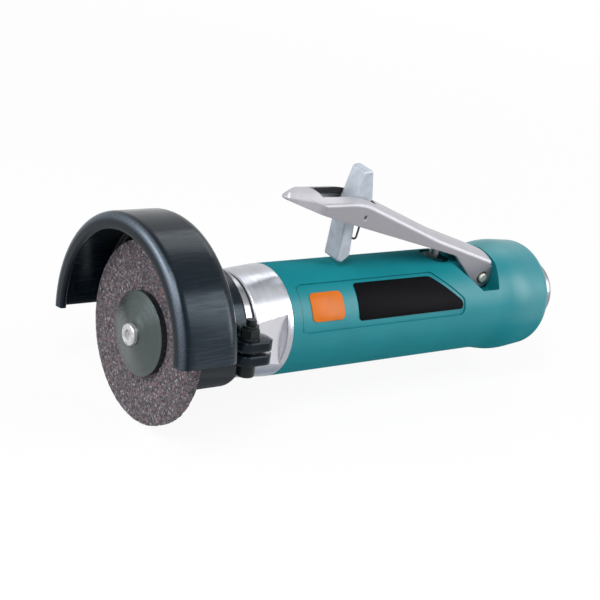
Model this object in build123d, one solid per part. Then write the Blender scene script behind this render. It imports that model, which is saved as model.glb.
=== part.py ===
from build123d import *
import os
from math import acos, asin, atan, atan2, cos, degrees, hypot, pi, radians, sin, sqrt, tan

# A straight air-driven cut-off tool: a 3 in wheel on an arbor, a vane motor in a grip housing,
# a throttle lever with a folding lock on top, and an air inlet at the back.
# Millimetres. X runs back along the spindle from the wheel's front face, Z is up on the
# lever's side. Stations are X values in that frame. Every part is exported with its origin
# moved to the centre of the inlet's mouth.

# Clearances
FIT = 0.05              # radial, between parts that are assembled and stay put
RUN = 0.06              # radial, between parts that turn or slide on each other
SIDE_GAP = 0.4          # beside a part that swings
CONTACT_GAP = 0.3       # between a lever and what it pushes

# Wheel, flanges and centre screw
WHEEL_R = 38.1
WHEEL_T = 3.2
PILOT_R = 4.7           # arbor pilot for a 3/8 in bore
PILOT_REACH = 1.8       # pilot ahead of the wheel's face
FLANGE_R = 17.5
FLANGE_RELIEF = 0.4
FLANGE_RELIEF_R = 12.5
OUTER_RIM_T = 2.6
OUTER_CONE_H = 3.0
OUTER_HUB_R = 5.8
INNER_FLANGE_T = 4.0
SCREW_R = 2.9
SCREW_LENGTH = 18.0
SCREW_HEAD_R = 4.6
SCREW_HEAD_H = 2.0
SCREW_SOCKET_AF = 4.0

# Arbor, rotor and bearings
ARBOR_COLLAR_R = 8.5
ARBOR_TAIL = 19.5       # arbor behind its bearing
FRONT_SHAFT_R = 4.0
SHAFT_SOCKET = 14.0     # rotor shaft inside the arbor
BEARING1_BORE_R = 6.0
BEARING1_R = 14.0
BEARING1_W = 8.0
BEARING1_BALLS = 8
BEARING2_BORE_R = 4.0
BEARING2_R = 11.0
BEARING2_W = 7.0
BEARING2_BALLS = 7
BALL_SHARE = 0.3        # ball radius over the bearing's section height
CLIP_T = 1.2
CLIP_DEPTH = 0.9
CLIP_WIDTH = 1.8
ROTOR_END_GAP = 0.15
ROTOR_TIP_GAP = 0.2     # rotor to cylinder on the tight side
VANES = 5
VANE_T = 2.0
VANE_H = 6.2
VANE_GAP = 0.1

# Nose and motor barrel
NOSE_STANDOFF = 3.8     # inner flange to nose
NOSE_WALL = 3.5
NOSE_INSET = 1.4        # nose below the grip's surface
NOSE_STEP = 0.8         # down to the seat that the guard's collar turns on
NOSE_BAND = 4.8
NOSE_BORE_GAP = 0.5     # round the arbor's collar
SEAL_GAP = 1.5
SEAL_SEAT_DEPTH = 2.1
BODY_FRONT_LENGTH = 18.3
BODY_INSET = 1.3
GRIP_WALL = 3.6
BARREL_WALL = 2.0
FLAT_DEPTH = 2.9        # wrench flats below the grip's surface
FLAT_LENGTH = 15.5
FLAT_TURN = 4.6
SPIGOT_LENGTH = 6.5
FRONT_PLATE_T = 6.0
CYLINDER_LENGTH = 36.0
CYLINDER_WALL = 2.45    # at its thinnest
ECCENTRICITY = 1.7
PORT_SLOTS = 5
PORT_SLOT_W = 3.0
REAR_PLATE_WEB = 2.5
GASKET_T = 0.5
GASKET_W = 3.0
DOWEL_R = 1.2

# Guard and its clamp
GUARD_R = 49.8
GUARD_WALL = 2.8
GUARD_FRONT = 14.0      # ahead of the wheel's face
GUARD_LIP = 7.2
GUARD_FRONT_ROUND = 3.4
GUARD_BACK_ROUND = 6.0
GUARD_TILT = -11.5
COLLAR_LENGTH = 22.2
COLLAR_WALL = 3.7
COLLAR_GAP = 0.1
CLAMP_DROP = 3.5        # clamp below the guard's end, degrees
CLAMP_SPLIT = 1.6
CLAMP_EAR_T = 4.2
CLAMP_EAR_REACH = 10.4
CLAMP_EAR_LENGTH = 18.0
CLAMP_EAR_OVERHANG = 6.6
CLAMP_SCREW_R = 2.0
CLAMP_SCREW_OUT = 5.4   # from the collar's surface
CLAMP_SCREW_BACK = 3.4  # ahead of the collar's end
CLAMP_WASHER_R = 4.3
CLAMP_WASHER_T = 1.2
CLAMP_NUT_AF = 7.2
CLAMP_NUT_H = 4.8
CLAMP_HEAD_R = 3.8
CLAMP_HEAD_H = 5.6
CLAMP_SOCKET_AF = 3.4
CLAMP_STUD = 2.4

# Grip housing
GRIP_R = 24.2
PIVOT_SETBACK = 118.0   # seam to lever pin
BULGE_RISE = 2.5
BULGE_START = 3.6       # behind the lever pin
BULGE_PEAK = 16.0
BULGE_ROUND = 40.0
TAIL_RISE = 0.8
TAIL_AT = 35.0
TAIL_ROUND = 5.5
TAIL_LIP = 0.6          # wall of the grip round the end cap
SEAM_ROUND = 0.5
GRIP_TAIL = 39.2
REAR_BORE_R = 15.1
SILENCER_START = 17.2
PANEL_DEPTH = 0.6
PANEL_LENGTH = 93.5
PANEL_FROM_SEAM = 5.2
PANEL_SLANT = 16.5
PANEL_LOW = 10.5        # degrees above the side
PANEL_KNEE = 28.0
PANEL_HIGH = 62.0
PANEL_ROUND = 3.0
FEED_R = 3.4
FEED_Z = 13.0
INLET_PASSAGE_R = 5.0
EXHAUST_R = 2.2
EXHAUST_AT_R = 12.3
EXHAUST_ANGLES = (-20, -55, -125, -160)

# Throttle lever, from its pin
PIN_DEPTH = 9.1         # lever pin below the grip's top
PIN_R = 2.0
PIN_HEAD_R = 2.2
BUSH_R = 3.0
LEVER_HALF = 10.2
LEVER_SKIN = 3.0
LEVER_WALL = 2.4
LEVER_CROWN = 2.4
LEVER_EDGE = 1.8        # rounding along the top edges
LEVER_NOSE = 17.5       # length of the pointed nose
NOSE_POINT_R = 3.0
NOSE_SHOULDER_R = 9.0
NOSE_T = 2.8            # at the tip
NOSE_BEVEL = 2.0
NOSE_BEVEL_ANGLE = 40.0
NOSE_SOLID_END = 1.5    # web between the solid nose and the slot
TIP_AHEAD = 119.6
TIP_UP = 44.1
BEND_AHEAD = 82.8
BEND_UP = 43.2
BEND_ROUND = 34.0
KNEE_AHEAD = 32.3
KNEE_UP = 22.3
KNEE_ROUND = 80.0
TAIL_BEHIND = 4.8
TAIL_UP = 9.6
CHIN_AHEAD = 84.3
CHIN_UP = 30.8
NECK_AHEAD = 20.3
NECK_UP = 12.4
EAR_R = 5.2
THROTTLE_DEGREES = 6.5
POCKET_INSET = 4.0      # from the grip's side
POCKET_GAP = 0.6
POCKET_LEAN = 3.0       # its back wall comes forward towards the side
BOSS_RISE = 4.2         # boss above the lever pin

# Lock lever, from its pin
LOCK_AHEAD = 81.3
LOCK_UP = 34.6          # above the lever pin
LOCK_ROOM = 2.9         # each side, inside the lever
LOCK_PIN_R = 1.0
LOCK_PIN_SUNK = 0.8
LOCK_HUB_R = 4.4
LOCK_FOOT = 23.3
LOCK_FOOT_AHEAD = 5.6
LOCK_FOOT_T = 6.0
LOCK_HEAD = 19.4
LOCK_HEAD_T = 9.4
LOCK_RIDGES = 6
LOCK_GROOVE = 0.45      # depth between the ridges
LOCK_GROOVE_R = 0.75
LOCK_EDGE = 0.9
LOCK_CORNER = 2.2       # rounding of the thumb piece's corners
SLOT_AHEAD = 21.7
SLOT_BEHIND = 8.6
SPRING_WIRE_R = 0.45
SPRING_COIL_R = 2.4
SPRING_TURNS = 1
SPRING_PITCH = 1.2
SPRING_LEG = 12.4

# Throttle valve
VALVE_AHEAD = 24.3
VALVE_BORE_R = 7.0
VALVE_BUSH_SUNK = 1.0   # its top below the grip's crest
VALVE_SEAT_Z = 8.0
VALVE_FLOOR_Z = -10.0
STEM_R = 2.4
POPPET_R = 5.4
POPPET_H = 2.6
SEAL_T = 0.9
VALVE_SPRING_R = 4.0
VALVE_SPRING_WIRE_R = 0.45
VALVE_SPRING_TURNS = 6

# Inlet and silencer
INLET_BORE_R = 5.72     # 1/4 in pipe thread, minor diameter
INLET_THREAD = 13.0
INLET_TUBE_R = 8.4
INLET_ROOT_R = 7.4
INLET_ROOT = 9.0
INLET_HEX_AF = 17.0
INLET_HEX_PROUD = 2.0
SCREEN_T = 0.8
SCREEN_R = 5.35
SCREEN_HOLE_R = 0.55
CAP_PROUD = 9.0
CAP_LENGTH = 15.5
CAP_ROUND = 2.2
CAP_PORTS = 10
CAP_PORT_R = 1.4
FELT_LENGTH = 14.0

# Stations along the spindle
x_flange_back = WHEEL_T + INNER_FLANGE_T
x_screw_seat = -(OUTER_RIM_T + OUTER_CONE_H)
x_nose_front = x_flange_back + NOSE_STANDOFF
x_bearing1 = x_nose_front + NOSE_WALL
x_clip = x_bearing1 + BEARING1_W
x_arbor_back = x_clip + ARBOR_TAIL
x_plate_back = x_nose_front + GUARD_WALL
x_collar_back = x_nose_front + COLLAR_LENGTH
x_nose_step = x_collar_back + COLLAR_GAP
x_nose_back = x_nose_step + NOSE_BAND
x_body_front = x_nose_back + SEAL_GAP
x_seam = x_body_front + BODY_FRONT_LENGTH
x_front_plate = x_body_front + SPIGOT_LENGTH
x_cylinder = x_front_plate + FRONT_PLATE_T
x_cylinder_back = x_cylinder + CYLINDER_LENGTH
x_bearing2 = x_cylinder_back + REAR_PLATE_WEB
x_rear_plate_back = x_bearing2 + BEARING2_W
x_barrel_back = x_rear_plate_back + GASKET_T
x_pivot = x_seam + PIVOT_SETBACK
x_valve = x_pivot - VALVE_AHEAD
x_lock = x_pivot - LOCK_AHEAD
x_tip = x_pivot - TIP_AHEAD
x_tail = x_pivot + TAIL_BEHIND
x_silencer = x_pivot + SILENCER_START
x_grip_back = x_pivot + GRIP_TAIL
x_cap_back = x_grip_back + CAP_PROUD
x_inlet = x_cap_back + INLET_HEX_PROUD

# Radii and heights that follow
nose_r = GRIP_R - NOSE_INSET
nose_seat_r = nose_r - NOSE_STEP
collar_bore_r = nose_seat_r + RUN
collar_r = collar_bore_r + COLLAR_WALL
body_front_r = GRIP_R - BODY_INSET
flat_distance = GRIP_R - FLAT_DEPTH
barrel_r = GRIP_R - GRIP_WALL
barrel_bore_r = barrel_r - BARREL_WALL
insert_r = barrel_bore_r - FIT
cylinder_bore_r = insert_r - CYLINDER_WALL - ECCENTRICITY
rotor_r = cylinder_bore_r - ECCENTRICITY - ROTOR_TIP_GAP
dowel_at_r = (insert_r + cylinder_bore_r - ECCENTRICITY) / 2
bulge_r = GRIP_R + BULGE_RISE
tail_r = GRIP_R + TAIL_RISE
pocket_half = GRIP_R - POCKET_INSET
pivot_z = GRIP_R - PIN_DEPTH
tip_z, bend_z, knee_z, tail_z = (pivot_z + up for up in (TIP_UP, BEND_UP, KNEE_UP, TAIL_UP))
chin_z, neck_z, lock_z = (pivot_z + up for up in (CHIN_UP, NECK_UP, LOCK_UP))
lever_inner = LEVER_HALF - LEVER_WALL
boss_half = lever_inner - SIDE_GAP
lock_half = lever_inner - LOCK_ROOM
slot_half = lock_half + SIDE_GAP
spring_outer_y = -(lever_inner - CONTACT_GAP - SPRING_WIRE_R)


FROM_BASE = (Align.CENTER, Align.CENTER, Align.MIN)


def rod_x(r, x0, x1, y=0.0, z=0.0):
    """Cylinder along the spindle between two stations."""
    return Pos(x0, y, z) * Rot(0, 90, 0) * Cylinder(r, x1 - x0, align=FROM_BASE)


def rod_y(r, y0, y1, x, z):
    """Cylinder across the tool."""
    return Pos(x, y0, z) * Rot(-90, 0, 0) * Cylinder(r, y1 - y0, align=FROM_BASE)


def rod_z(r, z0, z1, x, y=0.0):
    """Upright cylinder."""
    return Pos(x, y, z0) * Cylinder(r, z1 - z0, align=FROM_BASE)


def ring_x(r_out, r_in, x0, x1):
    """Plain ring round the spindle."""
    return rod_x(r_out, x0, x1) - rod_x(r_in, x0 - 1, x1 + 1)


def turned(points):
    """Solid of revolution about the spindle from (station, radius) points."""
    return revolve(make_face(Polyline(*points, close=True)), Axis.X)


def across(outline, y0, y1):
    """Plate with an (X, Z) outline between two Y planes."""
    face = Plane.XZ.offset(-y1) * make_face(outline)
    return extrude(face, amount=y1 - y0, dir=(0, -1, 0))


def block(x0, x1, y0, y1, z0, z1):
    """Box between its corners."""
    return Pos(x0, y0, z0) * Box(x1 - x0, y1 - y0, z1 - z0, align=(Align.MIN, Align.MIN, Align.MIN))


def hex_x(across_flats, x0, x1):
    """Hexagonal bar along the spindle."""
    sketch = Plane.YZ.offset(x0) * RegularPolygon(across_flats / 2, 6, major_radius=False)
    return extrude(sketch, amount=x1 - x0, dir=(1, 0, 0))


def unit(v):
    length = sqrt(sum(c * c for c in v))
    return tuple(c / length for c in v)


def biarc(p0, t0, p1, t1):
    """Two tangent arcs from p0 to p1 that start along t0 and end along t1."""
    v = [b - a for a, b in zip(p0, p1)]
    t = [a + b for a, b in zip(t0, t1)]
    vv = sum(c * c for c in v)
    vt = sum(a * b for a, b in zip(v, t))
    bend = 2 * (1 - sum(a * b for a, b in zip(t0, t1)))
    d = (-vt + sqrt(vt * vt + bend * vv)) / bend
    q0 = [p + d * c for p, c in zip(p0, t0)]
    q1 = [p - d * c for p, c in zip(p1, t1)]
    middle = [(a + b) / 2 for a, b in zip(q0, q1)]
    along = [b - a for a, b in zip(q0, q1)]
    return [Edge.make_tangent_arc(p0, t0, middle), Edge.make_tangent_arc(middle, along, p1)]


def coil(centre, r, start, turns, pitch, place):
    """Points and unit tangents of a coil at each quarter turn; place maps (u, v, along) to space."""
    points, tangents = [], []
    for step in range(round(turns * 4) + 1):
        a = start + step * pi / 2
        points.append(place(centre, r * cos(a), r * sin(a), pitch * step / 4))
        ahead = place((0, 0, 0), -r * sin(a), r * cos(a), pitch / (2 * pi))
        tangents.append(unit(ahead))
    return points, tangents


def wire_tube(edges, r, name):
    """Round wire swept along tangent edges; prints its least gap to itself."""
    path = Wire(edges)
    section = Plane(origin=path @ 0, z_dir=path % 0) * Circle(r)
    count = 240
    points = [path @ (i / count) for i in range(count + 1)]
    apart = int(count * 6 * r / path.length) + 1
    gaps = [(points[i] - points[j]).length for i in range(count + 1) for j in range(i + apart, count + 1)]
    print(f"{name}: least gap to itself {min(gaps) - 2 * r:.2f} mm")
    return sweep(section, path=path)


def bearing(x0, bore_r, outer_r, width, balls):
    """Deep-groove ball bearing: outer ring, inner ring and balls."""
    pitch_r = (bore_r + outer_r) / 2
    ball_r = BALL_SHARE * (outer_r - bore_r)
    x_mid = x0 + width / 2
    land = ball_r * 0.55
    groove = Pos(x_mid, 0, 0) * Rot(0, 90, 0) * Torus(pitch_r, ball_r + FIT)
    outer = ring_x(outer_r, pitch_r + land, x0, x0 + width) - groove
    inner = ring_x(pitch_r - land, bore_r + FIT, x0, x0 + width) - groove
    set_of_balls = Part()
    for i in range(balls):
        set_of_balls += Rot(i * 360 / balls, 0, 0) * Pos(x_mid, 0, pitch_r) * Sphere(ball_r)
    return outer, inner, set_of_balls


def cut_off_wheel():
    return ring_x(WHEEL_R, PILOT_R + FIT, 0, WHEEL_T)


def outer_flange():
    """Turned cone flange, relieved behind, with a hub that takes the arbor's pilot."""
    body = turned([
        (0, FLANGE_RELIEF_R), (0, FLANGE_R), (-OUTER_RIM_T, FLANGE_R), (x_screw_seat, OUTER_HUB_R),
        (x_screw_seat, SCREW_R + FIT), (-FLANGE_RELIEF, SCREW_R + FIT), (-FLANGE_RELIEF, FLANGE_RELIEF_R)])
    return body - rod_x(PILOT_R + FIT, -PILOT_REACH - FIT, 1)


def flange_screw():
    """Low-head socket screw that holds the flanges."""
    x_head = x_screw_seat - SCREW_HEAD_H
    head = rod_x(SCREW_HEAD_R, x_head, x_screw_seat)
    head = fillet(head.edges().filter_by(GeomType.CIRCLE).sort_by(Axis.X)[0], SCREW_HEAD_H * 0.4)
    screw = head + rod_x(SCREW_R, x_screw_seat, x_screw_seat + SCREW_LENGTH)
    return screw - hex_x(SCREW_SOCKET_AF, x_head - 1, x_head + SCREW_HEAD_H * 0.7)


def inner_flange():
    """Backing flange against the arbor's shoulder."""
    return turned([
        (WHEEL_T, FLANGE_RELIEF_R), (WHEEL_T, FLANGE_R), (WHEEL_T + INNER_FLANGE_T / 2, FLANGE_R),
        (x_flange_back, FLANGE_R - INNER_FLANGE_T), (x_flange_back, PILOT_R + FIT),
        (WHEEL_T + FLANGE_RELIEF, PILOT_R + FIT), (WHEEL_T + FLANGE_RELIEF, FLANGE_RELIEF_R)])


def arbor():
    """Wheel arbor: pilot, shouldered collar with holding flats, bearing journal and shaft socket."""
    journal_r = BEARING1_BORE_R
    body = rod_x(PILOT_R, -PILOT_REACH, x_flange_back) + rod_x(ARBOR_COLLAR_R, x_flange_back, x_bearing1)
    body += rod_x(journal_r, x_bearing1, x_arbor_back)
    body -= rod_x(SCREW_R + FIT, -PILOT_REACH - 1, x_screw_seat + SCREW_LENGTH + 1)
    body -= rod_x(FRONT_SHAFT_R + FIT, x_arbor_back - SHAFT_SOCKET, x_arbor_back + 1)
    flat = journal_r + 0.8
    for side in (1, -1):
        z0, z1 = sorted((side * flat, side * (ARBOR_COLLAR_R + 1)))
        body -= block(x_flange_back, x_nose_front - 0.4, -ARBOR_COLLAR_R, ARBOR_COLLAR_R, z0, z1)
    return body


def nose():
    """Front cap: bearing seat, guard seat, seal groove and the spigot in the motor body."""
    bore_r = BEARING1_R + FIT
    x_clip_back = x_clip + CLIP_T + 2 * FIT
    spigot_back = x_front_plate
    seat_depth = nose_r - SEAL_SEAT_DEPTH
    return turned([
        (x_nose_front, ARBOR_COLLAR_R + NOSE_BORE_GAP), (x_nose_front, nose_seat_r - 0.8),
        (x_nose_front + 0.8, nose_seat_r), (x_nose_step, nose_seat_r), (x_nose_step, nose_r),
        (x_nose_back, nose_r), (x_nose_back, seat_depth), (x_body_front, seat_depth),
        (x_body_front, insert_r), (spigot_back, insert_r), (spigot_back, insert_r - 2.5),
        (x_clip_back + 3.0, insert_r - 2.5), (x_clip_back + 1.2, bore_r), (x_clip_back, bore_r),
        (x_clip_back, bore_r + CLIP_DEPTH), (x_clip, bore_r + CLIP_DEPTH), (x_clip, bore_r),
        (x_bearing1, bore_r), (x_bearing1, ARBOR_COLLAR_R + NOSE_BORE_GAP)])


def bearing_clip():
    """Split ring that keeps the front bearing in the nose."""
    r_out = BEARING1_R + CLIP_DEPTH
    ring = ring_x(r_out, r_out - CLIP_DEPTH - CLIP_WIDTH, x_clip + FIT, x_clip + FIT + CLIP_T)
    return ring - block(x_clip - 1, x_clip + CLIP_T + 1, -2.5, 2.5, -r_out - 1, -r_out / 2)


def nose_seal():
    """Round seal ring between nose and motor body."""
    r = SEAL_GAP / 2 - FIT
    ring_r = nose_r - SEAL_SEAT_DEPTH + FIT + r
    return Pos(x_nose_back + SEAL_GAP / 2, 0, 0) * Rot(0, 90, 0) * Torus(ring_r, r)


def motor_body():
    """Polished front body with two wrench flats, and the barrel that the grip is screwed onto."""
    body = turned([
        (x_body_front, barrel_bore_r), (x_body_front, body_front_r - 0.6), (x_body_front + 0.6, body_front_r),
        (x_seam - 1.5, GRIP_R), (x_seam, GRIP_R), (x_seam, barrel_r), (x_barrel_back, barrel_r),
        (x_barrel_back, barrel_bore_r)])
    for side in (1, -1):
        y0, y1 = sorted((side * flat_distance, side * (GRIP_R + 1)))
        cut = block(x_body_front - 1, x_body_front + FLAT_LENGTH, y0, y1, -GRIP_R, GRIP_R)
        body -= Rot(-FLAT_TURN, 0, 0) * cut
    return body


def front_plate():
    """Front end plate of the motor."""
    plate = ring_x(insert_r, FRONT_SHAFT_R + 0.6, x_front_plate, x_cylinder)
    return plate - dowel(FIT)


def motor_cylinder():
    """Liner with an offset bore and a row of exhaust slots."""
    liner = rod_x(insert_r, x_cylinder, x_cylinder_back)
    liner -= rod_x(cylinder_bore_r, x_cylinder - 1, x_cylinder_back + 1, 0, ECCENTRICITY)
    pitch = CYLINDER_LENGTH / PORT_SLOTS
    for i in range(PORT_SLOTS):
        x_mid = x_cylinder + pitch * (i + 0.5)
        liner -= block(x_mid - PORT_SLOT_W / 2, x_mid + PORT_SLOT_W / 2, 8, insert_r + 1, -6, 6)
    return liner - dowel(FIT)


def dowel(grow=0.0):
    """Pin that keeps the liner and the end plates in line, or the hole for it."""
    return rod_x(DOWEL_R + grow, x_cylinder - 3 - grow, x_cylinder_back + 1.5 + grow, 0, -dowel_at_r)


def rotor():
    """Slotted rotor with its two shafts."""
    body = rod_x(rotor_r, x_cylinder + ROTOR_END_GAP, x_cylinder_back - ROTOR_END_GAP)
    body += rod_x(FRONT_SHAFT_R, x_arbor_back - SHAFT_SOCKET + 0.3, x_cylinder + 1)
    body += rod_x(BEARING2_BORE_R, x_cylinder_back - 1, x_rear_plate_back - 0.5)
    for i in range(VANES):
        slot = block(x_cylinder, x_cylinder_back, -VANE_T / 2 - VANE_GAP, VANE_T / 2 + VANE_GAP,
                     rotor_r - VANE_H - VANE_GAP, rotor_r + 1)
        body -= Rot(i * 360 / VANES, 0, 0) * slot
    return body


def rotor_vanes():
    """Sliding vanes, pushed fully into their slots."""
    vanes = Part()
    for i in range(VANES):
        vane = block(x_cylinder + 2 * ROTOR_END_GAP, x_cylinder_back - 2 * ROTOR_END_GAP,
                     -VANE_T / 2, VANE_T / 2, rotor_r - VANE_H, rotor_r - VANE_GAP)
        vanes += Rot(i * 360 / VANES, 0, 0) * vane
    return vanes


def rear_plate():
    """Rear end plate with the rear bearing's pocket."""
    plate = rod_x(insert_r, x_cylinder_back, x_rear_plate_back)
    plate -= rod_x(BEARING2_BORE_R + 0.6, x_cylinder_back - 1, x_rear_plate_back)
    plate -= rod_x(BEARING2_R + FIT, x_bearing2, x_rear_plate_back + 1)
    return plate - dowel(FIT)


def motor_gasket():
    """Thin ring behind the rear plate."""
    return ring_x(insert_r, insert_r - GASKET_W, x_rear_plate_back, x_barrel_back)


def in_guard(shape):
    """Turns a shape with the guard about the spindle."""
    return Rot(GUARD_TILT, 0, 0) * shape


def in_clamp(shape):
    """Turns a shape to the clamp's place below the guard's end."""
    return in_guard(Rot(CLAMP_DROP, 0, 0) * shape)


def clamp_ear(side):
    """One ear of the split collar; side is 1 above the split and -1 below."""
    x0 = x_collar_back + CLAMP_EAR_OVERHANG - CLAMP_EAR_LENGTH
    x1 = x_collar_back + CLAMP_EAR_OVERHANG
    y0 = -(collar_r + CLAMP_EAR_REACH)
    y1 = -(collar_bore_r + 1.0)
    z0, z1 = sorted((side * CLAMP_SPLIT / 2, side * (CLAMP_SPLIT / 2 + CLAMP_EAR_T)))
    x_root = x_collar_back - 0.6
    outline = FilletPolyline(
        (x0, y1), (x_root, y1), (x_root, -(collar_r + 0.4)), (x1, -(collar_r + 0.4)), (x1, y0),
        (x0 + 4, y0), (x0, -(collar_r + 3)), radius=[0, 0, 0, 2.0, 4.0, 3.0, 0], close=True)
    return extrude(Plane.XY.offset(z0) * make_face(outline), amount=z1 - z0, dir=(0, 0, 1))


def clamp_axis():
    """Station and distance of the clamp screw."""
    return x_collar_back - CLAMP_SCREW_BACK, -(collar_r + CLAMP_SCREW_OUT)


def wheel_guard():
    """Half-round guard with an inward lip, on a split clamping collar."""
    x_front = -GUARD_FRONT
    lip_r = GUARD_R - GUARD_LIP
    inner_r = GUARD_R - GUARD_WALL
    profile = FilletPolyline(
        (x_front, lip_r), (x_front, GUARD_R), (x_plate_back, GUARD_R), (x_plate_back, collar_bore_r),
        (x_nose_front, collar_bore_r), (x_nose_front, inner_r), (x_front + GUARD_WALL, inner_r),
        (x_front + GUARD_WALL, lip_r),
        radius=[0.9, GUARD_FRONT_ROUND, GUARD_BACK_ROUND, 0, 0, GUARD_BACK_ROUND - GUARD_WALL, 0.6, 0.9],
        close=True)
    guard = revolve(make_face(profile), Axis.X, revolution_arc=180)
    guard += ring_x(collar_r, collar_bore_r, x_nose_front, x_collar_back)
    x_screw, y_screw = clamp_axis()
    tilt = Rot(CLAMP_DROP, 0, 0)
    for side in (1, -1):
        guard += tilt * (clamp_ear(side) - rod_x(collar_bore_r, 0, x_collar_back + 10))
    reach = collar_r + CLAMP_EAR_REACH
    guard -= tilt * block(x_nose_front - 1, x_collar_back + 10, -reach - 1, -collar_bore_r + 1,
                          -CLAMP_SPLIT / 2, CLAMP_SPLIT / 2)
    guard -= tilt * rod_z(CLAMP_SCREW_R + FIT, -20, 20, x_screw, y_screw)
    return in_guard(guard)


def clamp_washer():
    """Flat washer on the upper ear."""
    x, y = clamp_axis()
    z0 = CLAMP_SPLIT / 2 + CLAMP_EAR_T
    return in_clamp(rod_z(CLAMP_WASHER_R, z0, z0 + CLAMP_WASHER_T, x, y)
                    - rod_z(CLAMP_SCREW_R + FIT, z0 - 1, z0 + CLAMP_WASHER_T + 1, x, y))


def clamp_nut():
    """Tall lock nut with a round top."""
    x, y = clamp_axis()
    z0 = CLAMP_SPLIT / 2 + CLAMP_EAR_T + CLAMP_WASHER_T
    flats = Plane.XY.offset(z0) * Pos(x, y) * RegularPolygon(CLAMP_NUT_AF / 2, 6, major_radius=False)
    nut = extrude(flats, amount=CLAMP_NUT_H * 0.7, dir=(0, 0, 1))
    nut += rod_z(CLAMP_NUT_AF / 2 - 0.3, z0, z0 + CLAMP_NUT_H, x, y)
    return in_clamp(nut - rod_z(CLAMP_SCREW_R + FIT, z0 - 1, z0 + CLAMP_NUT_H + 1, x, y))


def clamp_screw():
    """Cap screw put in from below."""
    x, y = clamp_axis()
    z_seat = -(CLAMP_SPLIT / 2 + CLAMP_EAR_T)
    z_top = -z_seat + CLAMP_WASHER_T + CLAMP_NUT_H + CLAMP_STUD
    head = rod_z(CLAMP_HEAD_R, z_seat - CLAMP_HEAD_H, z_seat, x, y)
    head = fillet(head.edges().filter_by(GeomType.CIRCLE).sort_by(Axis.Z)[0], 0.9)
    hexagon = RegularPolygon(CLAMP_SOCKET_AF / 2, 6, major_radius=False)
    socket = Plane.XY.offset(z_seat - CLAMP_HEAD_H - 1) * Pos(x, y) * hexagon
    screw = head + rod_z(CLAMP_SCREW_R, z_seat, z_top, x, y)
    return in_clamp(screw - extrude(socket, amount=1 + CLAMP_HEAD_H * 0.5, dir=(0, 0, 1)))


def grip_blank():
    """Outside of the grip: a straight barrel, a low swelling behind the lever and a rounded tail."""
    x_start, x_peak, x_end = (x_pivot + a for a in (BULGE_START, BULGE_PEAK, TAIL_AT))
    profile = FilletPolyline(
        (x_seam, 0), (x_seam, GRIP_R), (x_start, GRIP_R), (x_peak, bulge_r), (x_end, tail_r),
        (x_grip_back, REAR_BORE_R + TAIL_LIP), (x_grip_back, 0),
        radius=[0, SEAM_ROUND, BULGE_ROUND, BULGE_ROUND, TAIL_ROUND, TAIL_LIP / 2, 0], close=True)
    return revolve(make_face(profile), Axis.X)


def panel_recess():
    """Shallow panel with a slanted back end, sunk into the side of the grip."""
    middle = (PANEL_LOW + PANEL_HIGH) / 2
    low, knee, high = (GRIP_R * sin(radians(a - middle)) for a in (PANEL_LOW, PANEL_KNEE, PANEL_HIGH))
    x0 = x_seam + PANEL_FROM_SEAM
    x1 = x0 + PANEL_LENGTH
    outline = FilletPolyline((x0, low), (x1, low), (x1, knee), (x1 - PANEL_SLANT, high), (x0, high),
                             radius=PANEL_ROUND, close=True)
    shell = ring_x(GRIP_R + 2, GRIP_R - PANEL_DEPTH, x0 - 1, x1 + 1)
    prism = across(outline, -GRIP_R - 3, 0)
    return Rot(-middle, 0, 0) * (prism & shell)


def ear_line():
    """Slope of the ear's front edge, which runs from the neck to a circle round the pin."""
    return atan2(pivot_z - neck_z, NECK_AHEAD) - asin(EAR_R / hypot(NECK_AHEAD, pivot_z - neck_z))


def lever_pocket():
    """Room for the lever's ears on both sides of the boss, with the lever pressed or released."""
    rear = x_pivot + EAR_R + POCKET_GAP
    floor = pivot_z - EAR_R - POCKET_GAP
    top = GRIP_R + 8
    slope = ear_line() + radians(THROTTLE_DEGREES)
    radius = EAR_R + POCKET_GAP
    x_touch, z_touch = x_pivot + radius * sin(slope), pivot_z - radius * cos(slope)
    x_top = x_touch - (top - z_touch) / tan(-slope)
    x_floor = x_touch + (z_touch - floor) / tan(-slope)
    sides = Polyline((x_top, top), (x_floor, floor), (rear, floor), (rear, top), close=True)
    pocket = across(sides, -pocket_half, -boss_half) + across(sides, boss_half, pocket_half)
    z_boss = pivot_z + BOSS_RISE
    over = Polyline((x_pivot - 12, top), (x_pivot - 9.5, z_boss), (rear, z_boss), (rear, top), close=True)
    pocket += across(over, -pocket_half, pocket_half)
    beside_ear = LEVER_HALF + SIDE_GAP
    plan = Polyline((x_top, -pocket_half), (rear - POCKET_LEAN, -pocket_half), (rear, -beside_ear),
                    (rear, beside_ear), (rear - POCKET_LEAN, pocket_half), (x_top, pocket_half), close=True)
    return pocket & extrude(make_face(plan), amount=top, dir=(0, 0, 1))


def grip_housing():
    """Moulded grip with the motor bore, air passages, valve bore, silencer bore and lever pocket."""
    body = grip_blank()
    body -= rod_x(barrel_r + FIT, x_seam - 1, x_barrel_back)
    body -= rod_x(REAR_BORE_R, x_silencer, x_grip_back + 1)
    body -= rod_x(INLET_ROOT_R + FIT, x_silencer - INLET_ROOT, x_silencer + 1)
    body -= rod_x(INLET_PASSAGE_R, x_valve, x_silencer)
    body -= rod_x(FEED_R, x_barrel_back - 1, x_valve, 0, FEED_Z)
    for angle in EXHAUST_ANGLES:
        y, z = EXHAUST_AT_R * cos(radians(angle)), EXHAUST_AT_R * sin(radians(angle))
        body -= rod_x(EXHAUST_R, x_barrel_back - 1, x_silencer + 1, y, z)
    body -= rod_z(VALVE_BORE_R + FIT, VALVE_FLOOR_Z, GRIP_R + 5, x_valve)
    body -= lever_pocket()
    body -= rod_y(PIN_R + FIT, -boss_half - 1, boss_half + 1, x_pivot, pivot_z)
    return body - panel_recess()


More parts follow.
